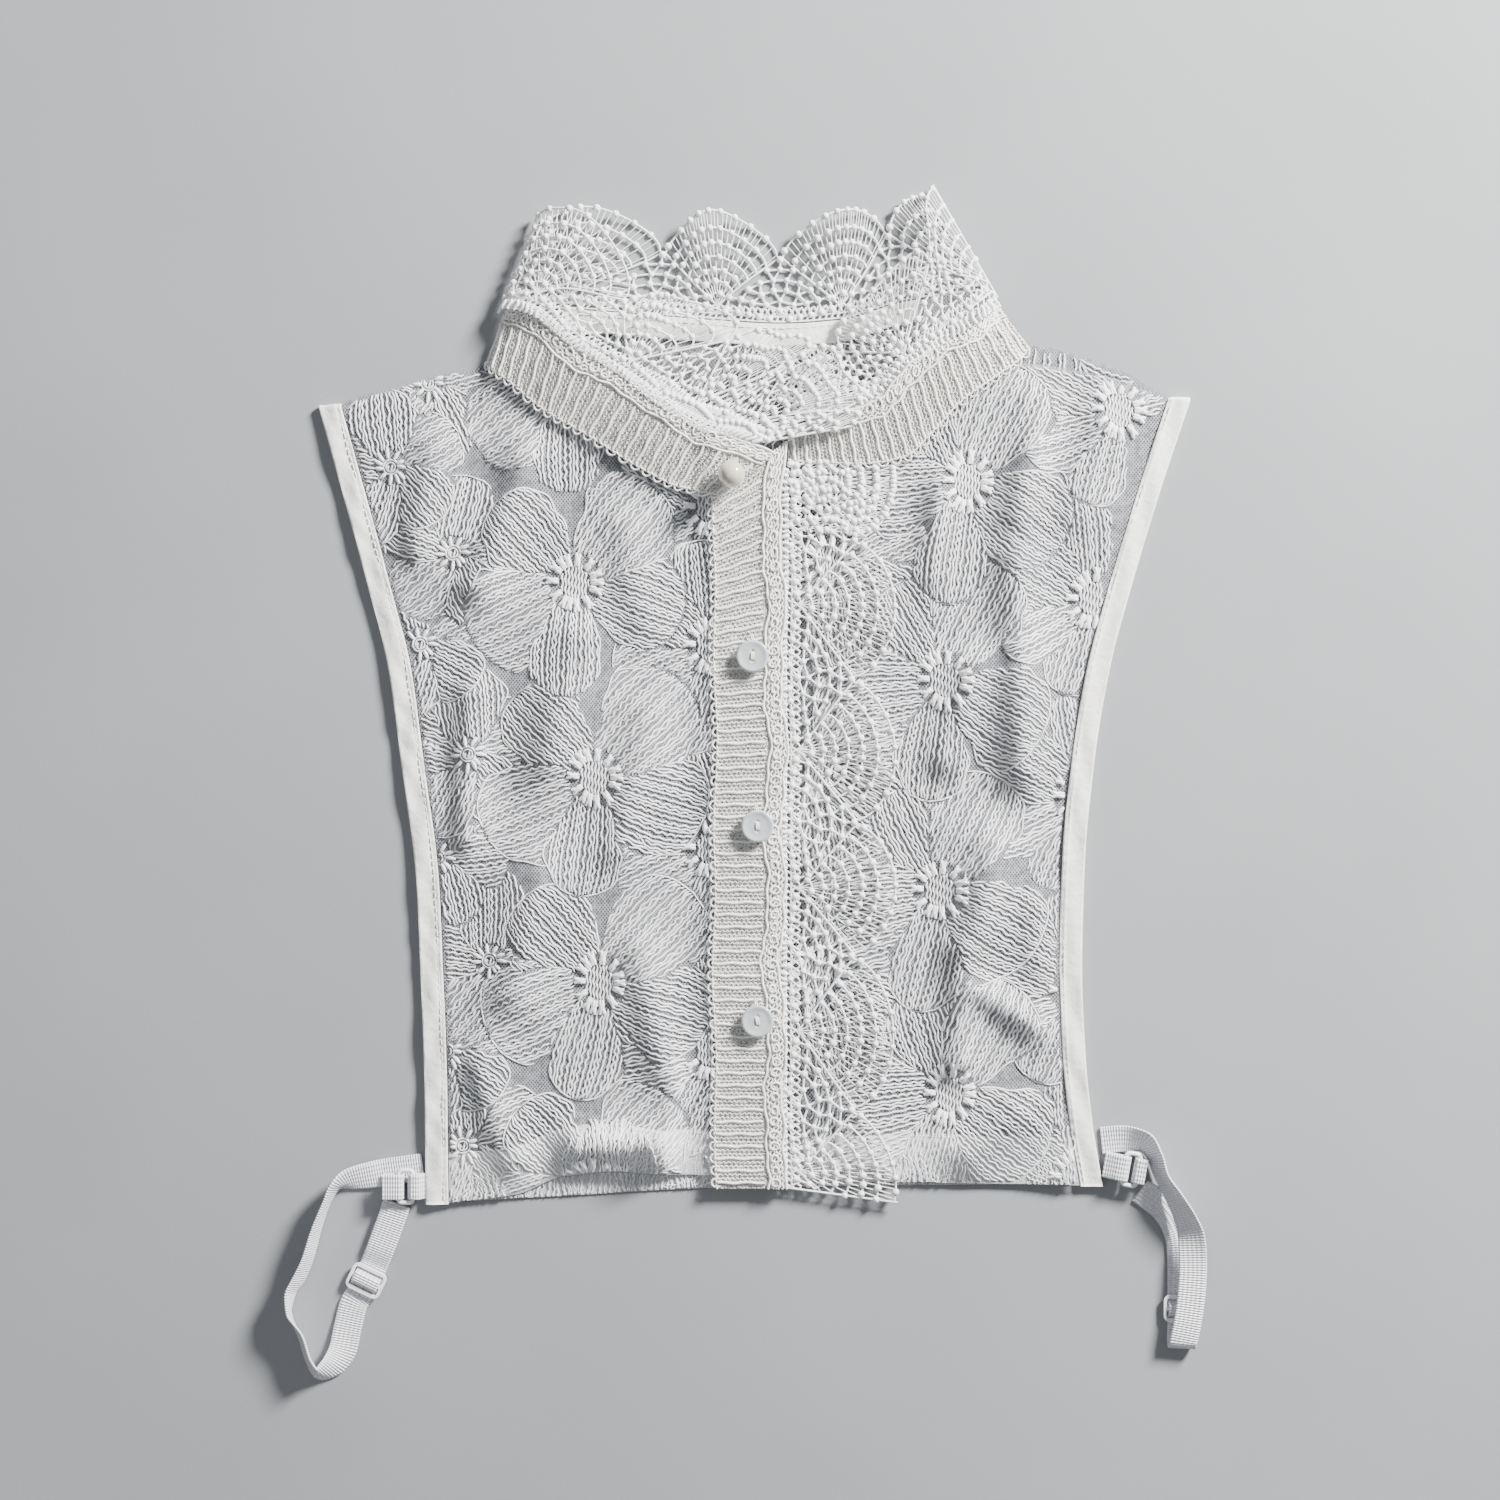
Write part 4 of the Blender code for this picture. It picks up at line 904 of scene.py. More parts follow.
def make_materials():
    return {
        "net": net_material(),
        "thread": thread_material("Embroidery thread", (0.80, 0.81, 0.83), (0.90, 0.90, 0.91)),
        "hem": thread_material("Doubled net", (0.40, 0.405, 0.42), (0.56, 0.565, 0.575), 0.7, 1.6, 0.3),
        "lace": thread_material("Lace cord", (0.80, 0.80, 0.80), (0.90, 0.90, 0.90), 0.6, 1.6, 0.2),
        "trim": thread_material("Trim cord", (0.80, 0.79, 0.76), (0.88, 0.87, 0.84), 0.55, 1.5, 0.2),
        "knit": knit_material(),
        "satin": satin_material("Satin tape", (0.77, 0.76, 0.735), (0.84, 0.83, 0.81), 0.5),
        "stitch": thread_material("Sewing thread", (0.80, 0.79, 0.76), (0.86, 0.85, 0.83), 0.5),
        "elastic": elastic_material(),
        "plastic": plastic_material(
            "Milky plastic", (0.78, 0.79, 0.80), (0.86, 0.86, 0.86), 0.28, Coat_Weight=0.3
        ),
        "button": plastic_material(
            "Button", (0.38, 0.41, 0.43), (0.45, 0.48, 0.50), 0.25, Coat_Weight=0.4
        ),
        "pearl": plastic_material(
            "Pearl", (0.46, 0.41, 0.32), (0.56, 0.51, 0.41), 0.12, Coat_Weight=1.0, Sheen_Weight=0.3
        ),
        "cotton": thread_material("Button thread", (0.74, 0.70, 0.60), (0.82, 0.78, 0.68), 0.6),
    }


# Embroidered net panels


class Panel:
    """A panel's outline and its height, which carry its net and its embroidery."""

    def __init__(self, left, right, bottom, top, height, relief):
        self.left, self.right = left, right
        self.bottom, self.top = bottom, top
        self.height, self.relief = height, relief

    def cloth(self, x, y):
        """Height of the net itself, in the middle of its solid's wall."""
        return self.height(x, y) + CLOTH / 2 + self.relief * fine_creases(x, y)

    def point(self, u, v, deeper=0.0):
        """Points at shares u across and v up the panel."""
        low = along(self.bottom, u)[..., 0]
        high = along(self.top, u)[..., 0]
        y = low + v * (high - low)
        x = self.left(y) + u * (self.right(y) - self.left(y))
        return np.stack([x, y, self.cloth(x, y) - deeper], -1)

    def holds(self, x, y, margin=0.6):
        """Whether points are on the panel, clear of its edge."""
        left, right = self.left(y), self.right(y)
        u = (x - left) / (right - left)
        low, high = along(self.bottom, u)[..., 0], along(self.top, u)[..., 0]
        across = (x > left + margin) & (x < right - margin)
        return across & (y > low + margin) & (y < high - margin)


def left_side(y):
    return left_edge(y) + BINDING_WIDTH + GAP


def right_side(y):
    return right_edge(y) - BINDING_WIDTH - GAP


def lap_side(y):
    return np.full_like(y, PLACKET_RIGHT - 0.2)


def under_side(y):
    return np.full_like(y, PLACKET_LEFT + 8)


PANELS = {
    "back": Panel(left_side, right_side, BACK_BOTTOM, BACK_TOP, ground, 0.0),
    "left": Panel(left_side, lap_side, LEFT_BOTTOM, LEFT_TOP, left_front_height, 1.0),
    "right": Panel(under_side, right_side, RIGHT_BOTTOM, RIGHT_TOP, right_front_height, 1.0),
}


def net_grid(panel, columns, rows):
    """Net from the raw edge of the hem, down to the fold, and then up to the top edge."""
    u = np.linspace(0, 1, columns)[:, None]
    under = np.linspace(HEM_DEPTH / PANEL_HEIGHT, 0.004, 9)[None, :]
    hem = panel.point(u + 0 * under, under + 0 * u, 0.42)
    fold = panel.point(u, np.zeros_like(u), 0.2)
    fold[..., 1] -= 0.2
    v = np.concatenate([[0.001], np.linspace(0.01, 1, rows)])[None, :]
    face = panel.point(u + 0 * v, v + 0 * u)
    return np.concatenate([hem, fold, face], axis=1)


def petal_width(share):
    """Half width of a petal along its length, from 0 to 1."""
    rise = 0.42 + 0.58 * np.clip(share / 0.55, 0, 1) ** 0.85
    fall = np.sqrt(np.clip(1 - np.clip((share - 0.48) / 0.52, 0, 1) ** 2.8, 0, 1))
    return rise * fall


class Petal:
    """One petal: its middle line starts at the flower's ring."""

    def __init__(self, x, y, direction, length, width, start, seed):
        self.turn = math.radians(direction)
        self.x, self.y, self.start = x, y, start
        self.length, self.width, self.seed = length - start, width, seed

    def local(self, x, y):
        dx, dy = x - self.x, y - self.y
        ahead = dx * math.cos(self.turn) + dy * math.sin(self.turn) - self.start
        aside = -dx * math.sin(self.turn) + dy * math.cos(self.turn)
        return ahead, aside

    def place(self, ahead, aside):
        out = ahead + self.start
        x = self.x + out * math.cos(self.turn) - aside * math.sin(self.turn)
        y = self.y + out * math.sin(self.turn) + aside * math.cos(self.turn)
        return x, y

    def half_width(self, share, side):
        """From the middle line to the petal's edge on one side, 1 or -1."""
        phase = self.seed + 2.1 * side
        uneven = 0.07 * np.sin(7 * share + phase) + 0.045 * np.sin(19 * share + 2 * phase)
        return self.width / 2 * petal_width(share) * (1 + uneven * ease(share * 2))

    def holds(self, x, y):
        ahead, aside = self.local(x, y)
        share = ahead / self.length
        inside = (share > 0) & (share < 1)
        return inside & (np.abs(aside) < self.half_width(np.clip(share, 0, 1), np.sign(aside)))

    def threads(self, pitch, step):
        """Wavy threads side by side along the petal: x and y, a row for each thread."""
        offset = np.arange(-self.width / 2, self.width / 2 + pitch / 2, pitch)
        offset = (offset + 0.22 * pitch * np.sin(3.1 * offset + self.seed))[:, None]
        ahead = np.arange(0.2, self.length, step)[None, :]
        share = ahead / self.length
        each = np.arange(len(offset))[:, None]
        phase = 0.7 * each + 0.8 * np.sin(2.7 * each + self.seed) + self.seed
        slow = 2.4 * np.sin(ahead / 6.3 + 0.21 * offset + self.seed)
        slow = slow + 0.9 * np.sin(ahead / 3.4 + 0.9 * each)
        strong = THREAD_WAVE * (0.8 + 0.5 * np.sin(ahead / 4.7 + 1.9 * each))
        wave = strong * np.sin(2 * np.pi * ahead / THREAD_WAVELENGTH + phase + slow)
        spread = 0.62 + 0.38 * petal_width(share)
        bend = 1.1 * np.sin(2.2 * share + self.seed)
        return self.place(ahead + 0 * offset, offset * spread + wave + bend)

    def outline(self, step):
        share = np.concatenate([np.arange(0, 1, step / self.length), [1.0]])
        left, right = self.half_width(share, 1), self.half_width(share, -1)
        ahead = np.concatenate([share, share[::-1]]) * self.length
        x, y = self.place(ahead, np.concatenate([left, -right[::-1]]))
        shown = np.sin(ahead / 6.0 + 2.6 * self.seed) + 1.2 * ahead / self.length > 0.35
        return x, y, shown


class Heart:
    """The middle of a flower: close threads in an oval, and short knots that point outwards."""

    def __init__(self, x, y, wide, high, ring, solid):
        self.x, self.y, self.wide, self.high = x, y, wide, high
        self.ring, self.solid = ring, solid

    def holds(self, x, y):
        reach = self.ring + 0.6
        return np.hypot((x - self.x) / reach, (y - self.y) / (reach * 1.12)) < 1

    def oval_threads(self):
        """Upright threads in the oval: a list of x and y."""
        rows = []
        for offset in np.arange(-self.wide + 0.6, self.wide, 1.2):
            half = self.high * math.sqrt(1 - (offset / self.wide) ** 2)
            y = np.arange(-half, half + 0.1, 0.8)
            x = offset + 0.3 * np.sin(y * 1.7 + offset)
            rows.append((self.x + x, self.y + y))
        return rows

    def knots(self):
        """Short thick stitches round the oval: start and end x, y of each."""
        count = 14 if self.solid else 11
        found = []
        for number in range(count):
            turn = 2 * math.pi * (number + 0.3 * math.sin(5.0 * number)) / count
            stray = 0.6 * math.sin(7.3 * number + self.x)
            inner = self.ring - (2.7 if self.solid else 1.9) + 0.6 * stray
            outer = self.ring + (1.7 if self.solid else 1.4) + stray
            away = np.linspace(inner, outer, 4)
            for cross in (-1, 1) if self.solid else (0.5,):
                lean = turn + cross * np.array([0.085, 0.05, -0.03, -0.09])
                found.append((self.x + away * np.cos(lean), self.y + 1.12 * away * np.sin(lean)))
        return found


def runs(mask):
    """Start and end of each stretch of True."""
    edges = np.flatnonzero(np.diff(np.concatenate([[0], mask.astype(int), [0]])))
    return zip(edges[::2], edges[1::2])


def embroidery(panel, flowers, pitch, step, gathers):
    """Every thread of a panel's flowers, as one mesh. A flower hides those after it in the list."""
    shapes = []
    for number, (kind, x, y, turn, size) in enumerate(flowers):
        solid = kind is not FLOWER_SMALL
        if solid:
            heart = Heart(x, y, *FLOWER_HEART, FLOWER_RING, True)
        else:
            heart = Heart(x, y, 1.4, 1.4, 4.6, False)
        shapes.append(heart)
        start = heart.ring - 0.6
        for index, (direction, length, width) in enumerate(kind):
            seed = 1.7 * number + 2.3 * index
            shapes.append(
                Petal(x, y, direction + turn, length * size, width * size, start, seed)
            )

    def clear(x, y, earlier):
        free = panel.holds(x, y)
        for shape in earlier:
            if abs(shape.x - x.mean()) < FLOWER_REACH and abs(shape.y - y.mean()) < FLOWER_REACH:
                free &= ~shape.holds(x, y)
        return free

    parts = []

    def sew(x, y, free, radius, sides=3):
        for start, end in runs(free):
            if end - start < 3:
                continue
            px, py = x[start:end], y[start:end]
            wide = np.full(end - start, radius)
            wide[[0, -1]] *= 0.55
            height = panel.cloth(px, py) + radius * 0.5
            parts.append(tube(np.stack([px, py, height], -1), wide, sides))

    # The embroidery of the turned-up hem shows through the cloth on top of it, and gathers in places
    tall = np.linspace(0.6, HEM_DEPTH - 0.8, 12)
    wide = float(np.ptp(panel.point(np.array([0.0, 1.0]), np.zeros(2))[:, 0]))
    layers = [(share, 1.0, -0.2) for share in np.arange(0.01, 0.99, 1.6 / wide)]
    for start, end, length, lift in gathers:
        shares = np.arange(start, end, 1.0 / wide)
        for share in shares:
            middle = 2 * (share - start) / (end - start) - 1
            uneven = 1.02 - 0.5 * middle**4 + 0.1 * math.sin(9e3 * share)
            layers.append((share, length * uneven, lift))
    for number, (share, reach, lift) in enumerate(layers):
        foot = panel.point(np.array(share), np.array(0.0))
        sway = 0.35 * np.sin(tall * 1.5 + 0.9 * number) + 1.3 * np.sin(tall / 6.0 + 0.31 * number)
        sway = sway + 0.7 * math.sin(2.3 * number)
        x, y = foot[0] + sway, foot[1] + tall * reach
        height = panel.cloth(x, y) + lift
        parts.append(tube(np.stack([x, y, height], -1), THREAD * 0.9))

    for index, shape in enumerate(shapes):
        earlier = shapes[:index]
        if isinstance(shape, Heart):
            for x, y in shape.oval_threads():
                sew(x, y, clear(x, y, earlier), THREAD * 1.1)
            for x, y in shape.knots():
                sew(x, y, clear(x, y, earlier), THREAD * (2.0 if shape.solid else 1.6), 6)
            if not shape.solid:
                turn = np.linspace(0, 2 * math.pi, 16)
                for radius in (1.7, 2.7):
                    x, y = shape.x + radius * np.cos(turn), shape.y + radius * np.sin(turn)
                    sew(x, y, clear(x, y, earlier), THREAD)
            continue
        all_x, all_y = shape.threads(pitch, step)
        free = clear(all_x, all_y, earlier) & shape.holds(all_x, all_y)
        for x, y, row in zip(all_x, all_y, free):
            sew(x, y, row, THREAD)
        x, y, shown = shape.outline(1.3)
        sew(x, y, clear(x, y, earlier) & shown, THREAD * 0.8)
    return joined(parts)


def make_panel(name, node, columns, rows, flowers, pitch, step, gathers, looks):
    panel = PANELS[name]
    grid = net_grid(panel, columns, rows)
    net = add_grid(f"net_{name}", grid, looks["net"], (node,), "net")
    points, faces = embroidery(panel, flowers, pitch, step, gathers)
    flowers_piece = add_piece(f"embroidery_{name}", points, faces, looks["thread"], (), "net")
    parts = []
    u = np.linspace(0.01, 0.99, 400)
    rise = np.linspace(0.0, HEM_DEPTH / PANEL_HEIGHT, 8)[None, :]
    across = np.linspace(0, 1, 90)[:, None]
    band_grid = panel.point(across + 0 * rise, rise + 0 * across, -0.07)
    turned_up = add_grid(f"hem_band_{name}", band_grid, looks["hem"], (), "net")
    stitch = panel.point(u, np.full_like(u, HEM_DEPTH / PANEL_HEIGHT - 0.004))
    stitch[:, 2] += 0.12
    for start in range(0, len(u) - 3, 4):
        parts.append(tube(stitch[start : start + 4], 0.28))
    hem = add_piece(f"hem_stitches_{name}", *joined(parts), looks["stitch"], (), "net")


# Scalloped lace


def lace_point(table, base, wave, scallop, reach):
    """Points of scalloped lace, at a scallop number and a distance from the seam."""
    scallop, reach = np.broadcast_arrays(np.asarray(scallop, float), np.asarray(reach, float))
    rows = along(table, scallop)
    seam, valley = rows[..., :3], rows[..., 3:]
    share = reach / lace_width(scallop)
    found = seam + (valley - seam) * (reach / LACE_VALLEY)[..., None]
    found[..., 2] = rows[..., 2] + (rows[..., 5] - rows[..., 2]) * share
    start, end = table[0][0], table[-1][0]
    calm = ease((scallop - start) / 0.6) * ease((end - scallop) / 0.6)
    ruffle = (0.5 - 0.5 * np.cos(2 * np.pi * (scallop + 0.12 * share))) * calm
    found[..., 2] += wave * np.clip(share, 0, 2) ** 1.5 * ruffle
    found[..., 2] += base(found[..., 0], found[..., 1]) + CLOTH / 2
    return found


def fan_lines(number):
    """The fan under one crown: cords, bars and knots as lists of (scallop, reach)."""
    centre = number + 0.5

    def at(phase, ring):
        scallop = number + phase
        reach = FAN_CENTRE + ring * (lace_width(np.minimum(scallop, number + 0.9999)) - FAN_CENTRE)
        return centre + ring * (scallop - centre), reach

    cell = 1 / KNOTS_PER_SCALLOP
    phases = (np.arange(KNOTS_PER_SCALLOP) + FIRST_KNOT) * cell
    cords, bars, knots = [], [], []
    arc = np.linspace(0.0, 1.0, 46)
    for ring in FAN_RINGS:
        cords.append(at(arc, ring))
    for phase in (0.0, 0.9999):
        cords.append(at(np.full(16, phase), np.linspace(0.0, 0.965, 16)))
    for inner, outer, places in zip(FAN_RINGS[:-1], FAN_RINGS[1:], FAN_BARS):
        for phase in phases:
            for place in places:
                spot = phase + place * cell
                if spot < 1:
                    bars.append(at(spot, np.linspace(inner, outer, 4)))
    for index, ring in enumerate(FAN_RINGS):
        stride = max(1, round(KNOT_SPACING * KNOTS_PER_SCALLOP / SCALLOP_LENGTH / ring))
        for phase in phases[index % stride :: stride]:
            knots.append(at(phase, ring))
    for phase in phases[::2]:
        bars.append(at(phase, np.linspace(0.0, FAN_RINGS[0], 3)))
    return cords, bars, knots


def valley_lines(number):
    """The honeycomb that fans out under one valley."""
    rings = []
    for radius in VALLEY_RINGS:
        count = max(3, round(radius * 2.75 / VALLEY_SPACING))
        turn = np.linspace(-1.42, 1.42, count)
        aside, reach = radius * np.sin(turn), VALLEY_CENTRE + radius * np.cos(turn)
        slope = (LACE_VALLEY - FAN_CENTRE) / (SCALLOP_LENGTH / 2)
        limit = LACE_VALLEY + 0.6 - slope * np.abs(aside)
        keep = (reach < limit) & (np.abs(aside) <= SCALLOP_LENGTH / 2)
        rings.append(np.stack([aside[keep], reach[keep]], -1))
    cords, bars, knots = [], [], []
    for ring in rings:
        for aside, reach in ring:
            knots.append((number + aside / SCALLOP_LENGTH, reach))
        for a, b in zip(ring[:-1], ring[1:]):
            if np.hypot(*(b - a)) < 1.5 * VALLEY_SPACING:
                pair = np.stack([a, b])
                cords.append((number + pair[:, 0] / SCALLOP_LENGTH, pair[:, 1]))
    for ring, after in zip(rings[:-1], rings[1:]):
        for point in after:
            away = np.hypot(*(ring - point).T)
            pair = np.stack([ring[away.argmin()], point])
            cords.append((number + pair[:, 0] / SCALLOP_LENGTH, pair[:, 1]))
    return cords, bars, knots


def seam_lines(start, end, under):
    """The ladder of short bars along the seam, and a close heading that goes under the trim."""
    cords, bars, knots = [], [], []
    scallop = np.arange(start, end, 0.02)
    for reach in (0.2, 2.2):
        cords.append((scallop, np.full_like(scallop, reach)))
    for reach in np.arange(-0.5, -under, -1.1):
        weave = 0.25 * np.sin(scallop * 150 + 4 * reach)
        cords.append((scallop, reach + weave))
    for place in np.arange(start + 0.02, end - 0.01, 0.05):
        cords.append((np.array([place, place + 0.02]), np.array([0.2, 2.2])))
    for phase in (0.0, math.pi):
        zigzag = 1.7 * np.sin(2 * np.pi * scallop * SCALLOP_LENGTH / 4.6 + phase)
        cords.append((scallop, 3.9 + zigzag))
    return cords, bars, knots


def crowded(table, scallop, reach, index):
    """Whether a bar is left out because the lace is squeezed together there."""
    ends = np.clip(scallop[0] + np.array([-0.02, 0.02]), table[0][0], table[-1][0])
    rows = along(table, ends)
    share = reach[0] / LACE_VALLEY
    places = rows[:, :2] * (1 - share) + rows[:, 3:5] * share
    stretch = math.dist(places[0], places[1]) / max(ends[1] - ends[0], 1e-6) / SCALLOP_LENGTH
    return (stretch < 0.6 and index % 2 > 0) or (stretch < 0.35 and index % 4 > 0)


def lace_mesh(table, base, wave, under, doubled):
    """The cords and bars of a piece of lace, and what is worked on them: knots and its heading."""
    start, final = table[0][0], table[-1][0]
    heading = seam_lines(start, final, under)
    sets = [(*heading, final)]
    for number in range(math.floor(start), math.ceil(final) + 1):
        sets.append((*fan_lines(number), final))
        sets.append((*valley_lines(number), final))
    # The first part is folded double, so that a second pattern shows through the first
    for number in (start + 0.1, start - 0.15, start - 0.4) if doubled else ():
        sets.append((*fan_lines(number), start + doubled))
        sets.append((*valley_lines(number), start + doubled))
    ground_parts, parts = [], []
    for cords, bars, knots, end in sets:
        shift = np.array([0.0, DOUBLED_RISE, DOUBLED_LIFT]) * (end < final)
        is_ground = end == final and cords is not heading[0]
        for lines, radius, sides in ((cords, LACE_CORD, 4), (bars, LACE_BAR, 3)):
            for index, (scallop, reach) in enumerate(lines):
                scallop, reach = np.broadcast_arrays(scallop, reach)
                if sides == 3 and crowded(table, scallop, reach, index):
                    continue
                for first, last in runs((scallop >= start) & (scallop <= end)):
                    if last - first < 2:
                        continue
                    path = lace_point(table, base, wave, scallop[first:last], reach[first:last])
                    (ground_parts if is_ground else parts).append(tube(path + shift, radius, sides))
        if knots:
            scallop, reach = (np.array(column, float) for column in zip(*knots))
            keep = (scallop > start) & (scallop < end)
            middles = lace_point(table, base, wave, scallop[keep], reach[keep])
            for index, middle in enumerate(middles + shift):
                parts.append(knot(middle, LACE_KNOT * (1 + 0.1 * math.sin(7.1 * index))))
    # Puffs of the gathered heading
    if under:
        reach = np.linspace(0.6, 0.4 - under, 6)
        places = np.linspace(start + 0.01, final - 0.01, 300)
        seam = along(table, places)[:, :2]
        run = np.concatenate([[0.0], np.hypot(*np.diff(seam, axis=0).T).cumsum()])
        for index, place in enumerate(np.interp(np.arange(0, run[-1], PUFF_PITCH), run, places)):
            scallop = place + 0.008 * math.sin(5.0 * index) + 0.007 * np.sin(reach * 1.6 + index)
            path = lace_point(table, base, wave, np.clip(scallop, start, final), reach)
            path[:, 2] += 0.25 + 0.65 * np.sin(np.linspace(0.3, math.pi - 0.3, 6))
            parts.append(tube(path, 0.62 + 0.12 * math.sin(3.0 * index), 5))
    # A close cord binds each cut end
    for scallop in (final - 0.004,) if doubled else (start + 0.004, final - 0.004):
        reach = np.linspace(0.0, float(lace_width(np.array(scallop))), 16)
        edge = lace_point(table, base, wave, np.full(16, scallop), reach)
        ground_parts.append(tube(edge, LACE_CORD, 4))
    return joined(ground_parts), joined(parts)


def make_lace(looks):
    def on_right_front(x, y):
        return right_front_height(x, y) + CLOTH + GAP

    laces = (
        ("lace_frill", "front_frill", FRILL, on_right_front, 4.0, 2.6, DOUBLED_SHARE, "net_right"),
        ("lace_back", "collar_lace_back", LACE_BACK, ground, 5.0, 0.0, 0.0, "neck_tape_satin"),
        ("lace_left", "collar_lace_left", LACE_LEFT, ground, 2.2, 3.6, 0.0, "lace_back"),
        ("lace_right", "collar_lace_right", LACE_RIGHT, ground, 1.2, 3.6, 0.0, "lace_back"),
    )
    for name, node, table, base, wave, under, doubled, rests in laces:
        cords, worked = lace_mesh(table, base, wave, under, doubled)
        piece = add_piece(name, *cords, looks["lace"], (node,), "lace")
        knots = add_piece(f"{name}_knots", *worked, looks["lace"], (), "lace")


# Ribbed trims


def ribbed_trim(place, length, width, looks, name, node):
    """Ribbed trim on place(share, across), which gives points of its underside.

    across is 0 at the looped edge and 1 at the sewn edge.
    """
    count = max(2, round(length / RIB_PITCH))
    crest = (np.arange(count) + 0.5) / count
    pitch = length / count

    def at(share, across, up):
        share, across = np.broadcast_arrays(np.asarray(share, float), np.asarray(across, float))
        found = place(np.clip(share, 0, 1), across)
        found[..., 2] += up
        return found

    share = np.linspace(0, 1, count * 6 + 1)[:, None]
    across = np.linspace(0.015, 0.99, 26)[None, :]
    swell = 0.16 * np.cos(2 * np.pi * (share * count - 0.5))
    ground_grid = at(share + 0 * across, across + 0 * share, 0.45 + swell + 0 * across)
    base = add_grid(name, ground_grid, looks["knit"], (node,), "trim")

    parts = []
    row = np.arange(0.05, 0.735, 0.8 / width)
    fine = np.arange(0.06, 0.73, 0.55 / width)
    for number, middle in enumerate(crest):
        wobble = 0.22 * np.sin(row * 17 + number * 1.9) / length
        parts.append(tube(at(middle + wobble, row, 0.92), 0.52, 5))
        for offset in (0.34, 0.66):
            spot = middle + offset * pitch / length
            if spot > 0.998:
                continue
            zigzag = 0.42 * np.sin(2 * np.pi * fine * width / 1.75 + number + 9 * offset) / length
            raised = 0.78 + 0.16 * np.cos(4 * np.pi * fine * width / 1.75)
            parts.append(tube(at(spot + zigzag, fine, raised), 0.27))
        turn = np.linspace(-0.7, math.pi + 0.7, 13)
        around = middle + 1.6 * np.cos(turn) / length
        out = (0.9 - 1.95 * np.sin(turn)) / width
        parts.append(tube(at(around, out, 0.62 + 0 * out), 0.38, 4))
        # A puff of the gathered heading
        turn = np.linspace(0, 2 * math.pi, 10)[:-1]
        around = middle + (0.3 * math.sin(3 * number) + 1.35 * np.cos(turn)) / length
        out = 0.865 + (1.5 + 0.4 * math.sin(5 * number)) * np.sin(turn) / width
        parts.append(tube(at(around, out, 1.25 + 0.2 * np.sin(turn + number)), 0.42, 4, closed=True))
    line = np.linspace(0.0, 1.0, int(length / 0.6))
    run = line * length
    for middle, swing, pitch_mm, radius, up in (
        (0.745, 0.32, 9.0, 0.5, 1.0),
        (0.80, 0.42, 2.3, 0.36, 0.95),
        (0.845, 0.42, 2.3, 0.36, 0.9),
        (0.89, 0.42, 2.3, 0.36, 0.95),
        (0.935, 0.42, 2.3, 0.36, 0.9),
        (0.982, 0.3, 11.0, 0.48, 0.95),
        (0.03, 0.25, 2.1, 0.36, 0.7),
    ):
        wave = swing * np.sin(2 * np.pi * run / pitch_mm + 40 * middle + np.sin(run / 7))
        drift = (0.7 * np.sin(run / 7.5) + 0.5 * np.sin(run / 3.6 + 1)) * (middle > 0.5)
        parts.append(tube(at(line, middle + (wave + drift) / width, up), radius, 4))
    cords = add_piece(f"{name}_cords", *joined(parts), looks["trim"], (), "trim")


def make_trims(looks):
    bottom, high = HEM_Y, PLACKET_TOP

    def placket(share, across):
        y = bottom + share * (high - bottom) + PLACKET_SLANT * across * share**6
        sway = 0.5 * np.sin(y / 9) + 0.4 * np.sin(y / 23 + 1)
        x = PLACKET_LEFT + across * (PLACKET_RIGHT - PLACKET_LEFT) + sway
        return np.stack([x, y, left_front_height(x, y) + CLOTH + GAP], -1)

    width = PLACKET_RIGHT - PLACKET_LEFT
    ribbed_trim(placket, high - bottom, width, looks, "ribbed_placket", "placket_trim")

    def collar(table, height):
        def place(share, across):
            rows = along(table, share)
            u = across[..., None]
            flat = rows[..., :2] * (1 - u) + rows[..., 2:4] * u
            x, y = flat[..., 0], flat[..., 1]
            free = height(x, y) + CLOTH + TRIM_GAP + np.maximum(rows[..., 4], 0) * across**2
            stands = ease((rows[..., 4] + 1.0) / 1.8)
            lapped = ease((share - 0.82) / 0.18) * (table is TRIM_LEFT)
            z = FOLD_FOOT * (1 - stands) + free * stands + TRIM_LAP[2] * lapped
            return np.stack([x + TRIM_LAP[0] * lapped, y + TRIM_LAP[1] * lapped, z], -1)

        return place

    for name, node, table, height, rests in (
        ("ribbed_collar_left", "collar_trim_left", TRIM_LEFT, left_front_height, "net_left"),
        ("ribbed_collar_right", "collar_trim_right", TRIM_RIGHT, right_front_height, "net_right"),
    ):
        line = along(table, np.linspace(0, 1, 40))
        middle = (line[:, :2] + line[:, 2:4]) / 2
        length = float(np.linalg.norm(np.diff(middle, axis=0), axis=1).sum())
        width = float(np.linalg.norm(line[:, :2] - line[:, 2:4], axis=1).mean())
        ribbed_trim(collar(table, height), length, width, looks, name, node)


# Satin bindings and tape


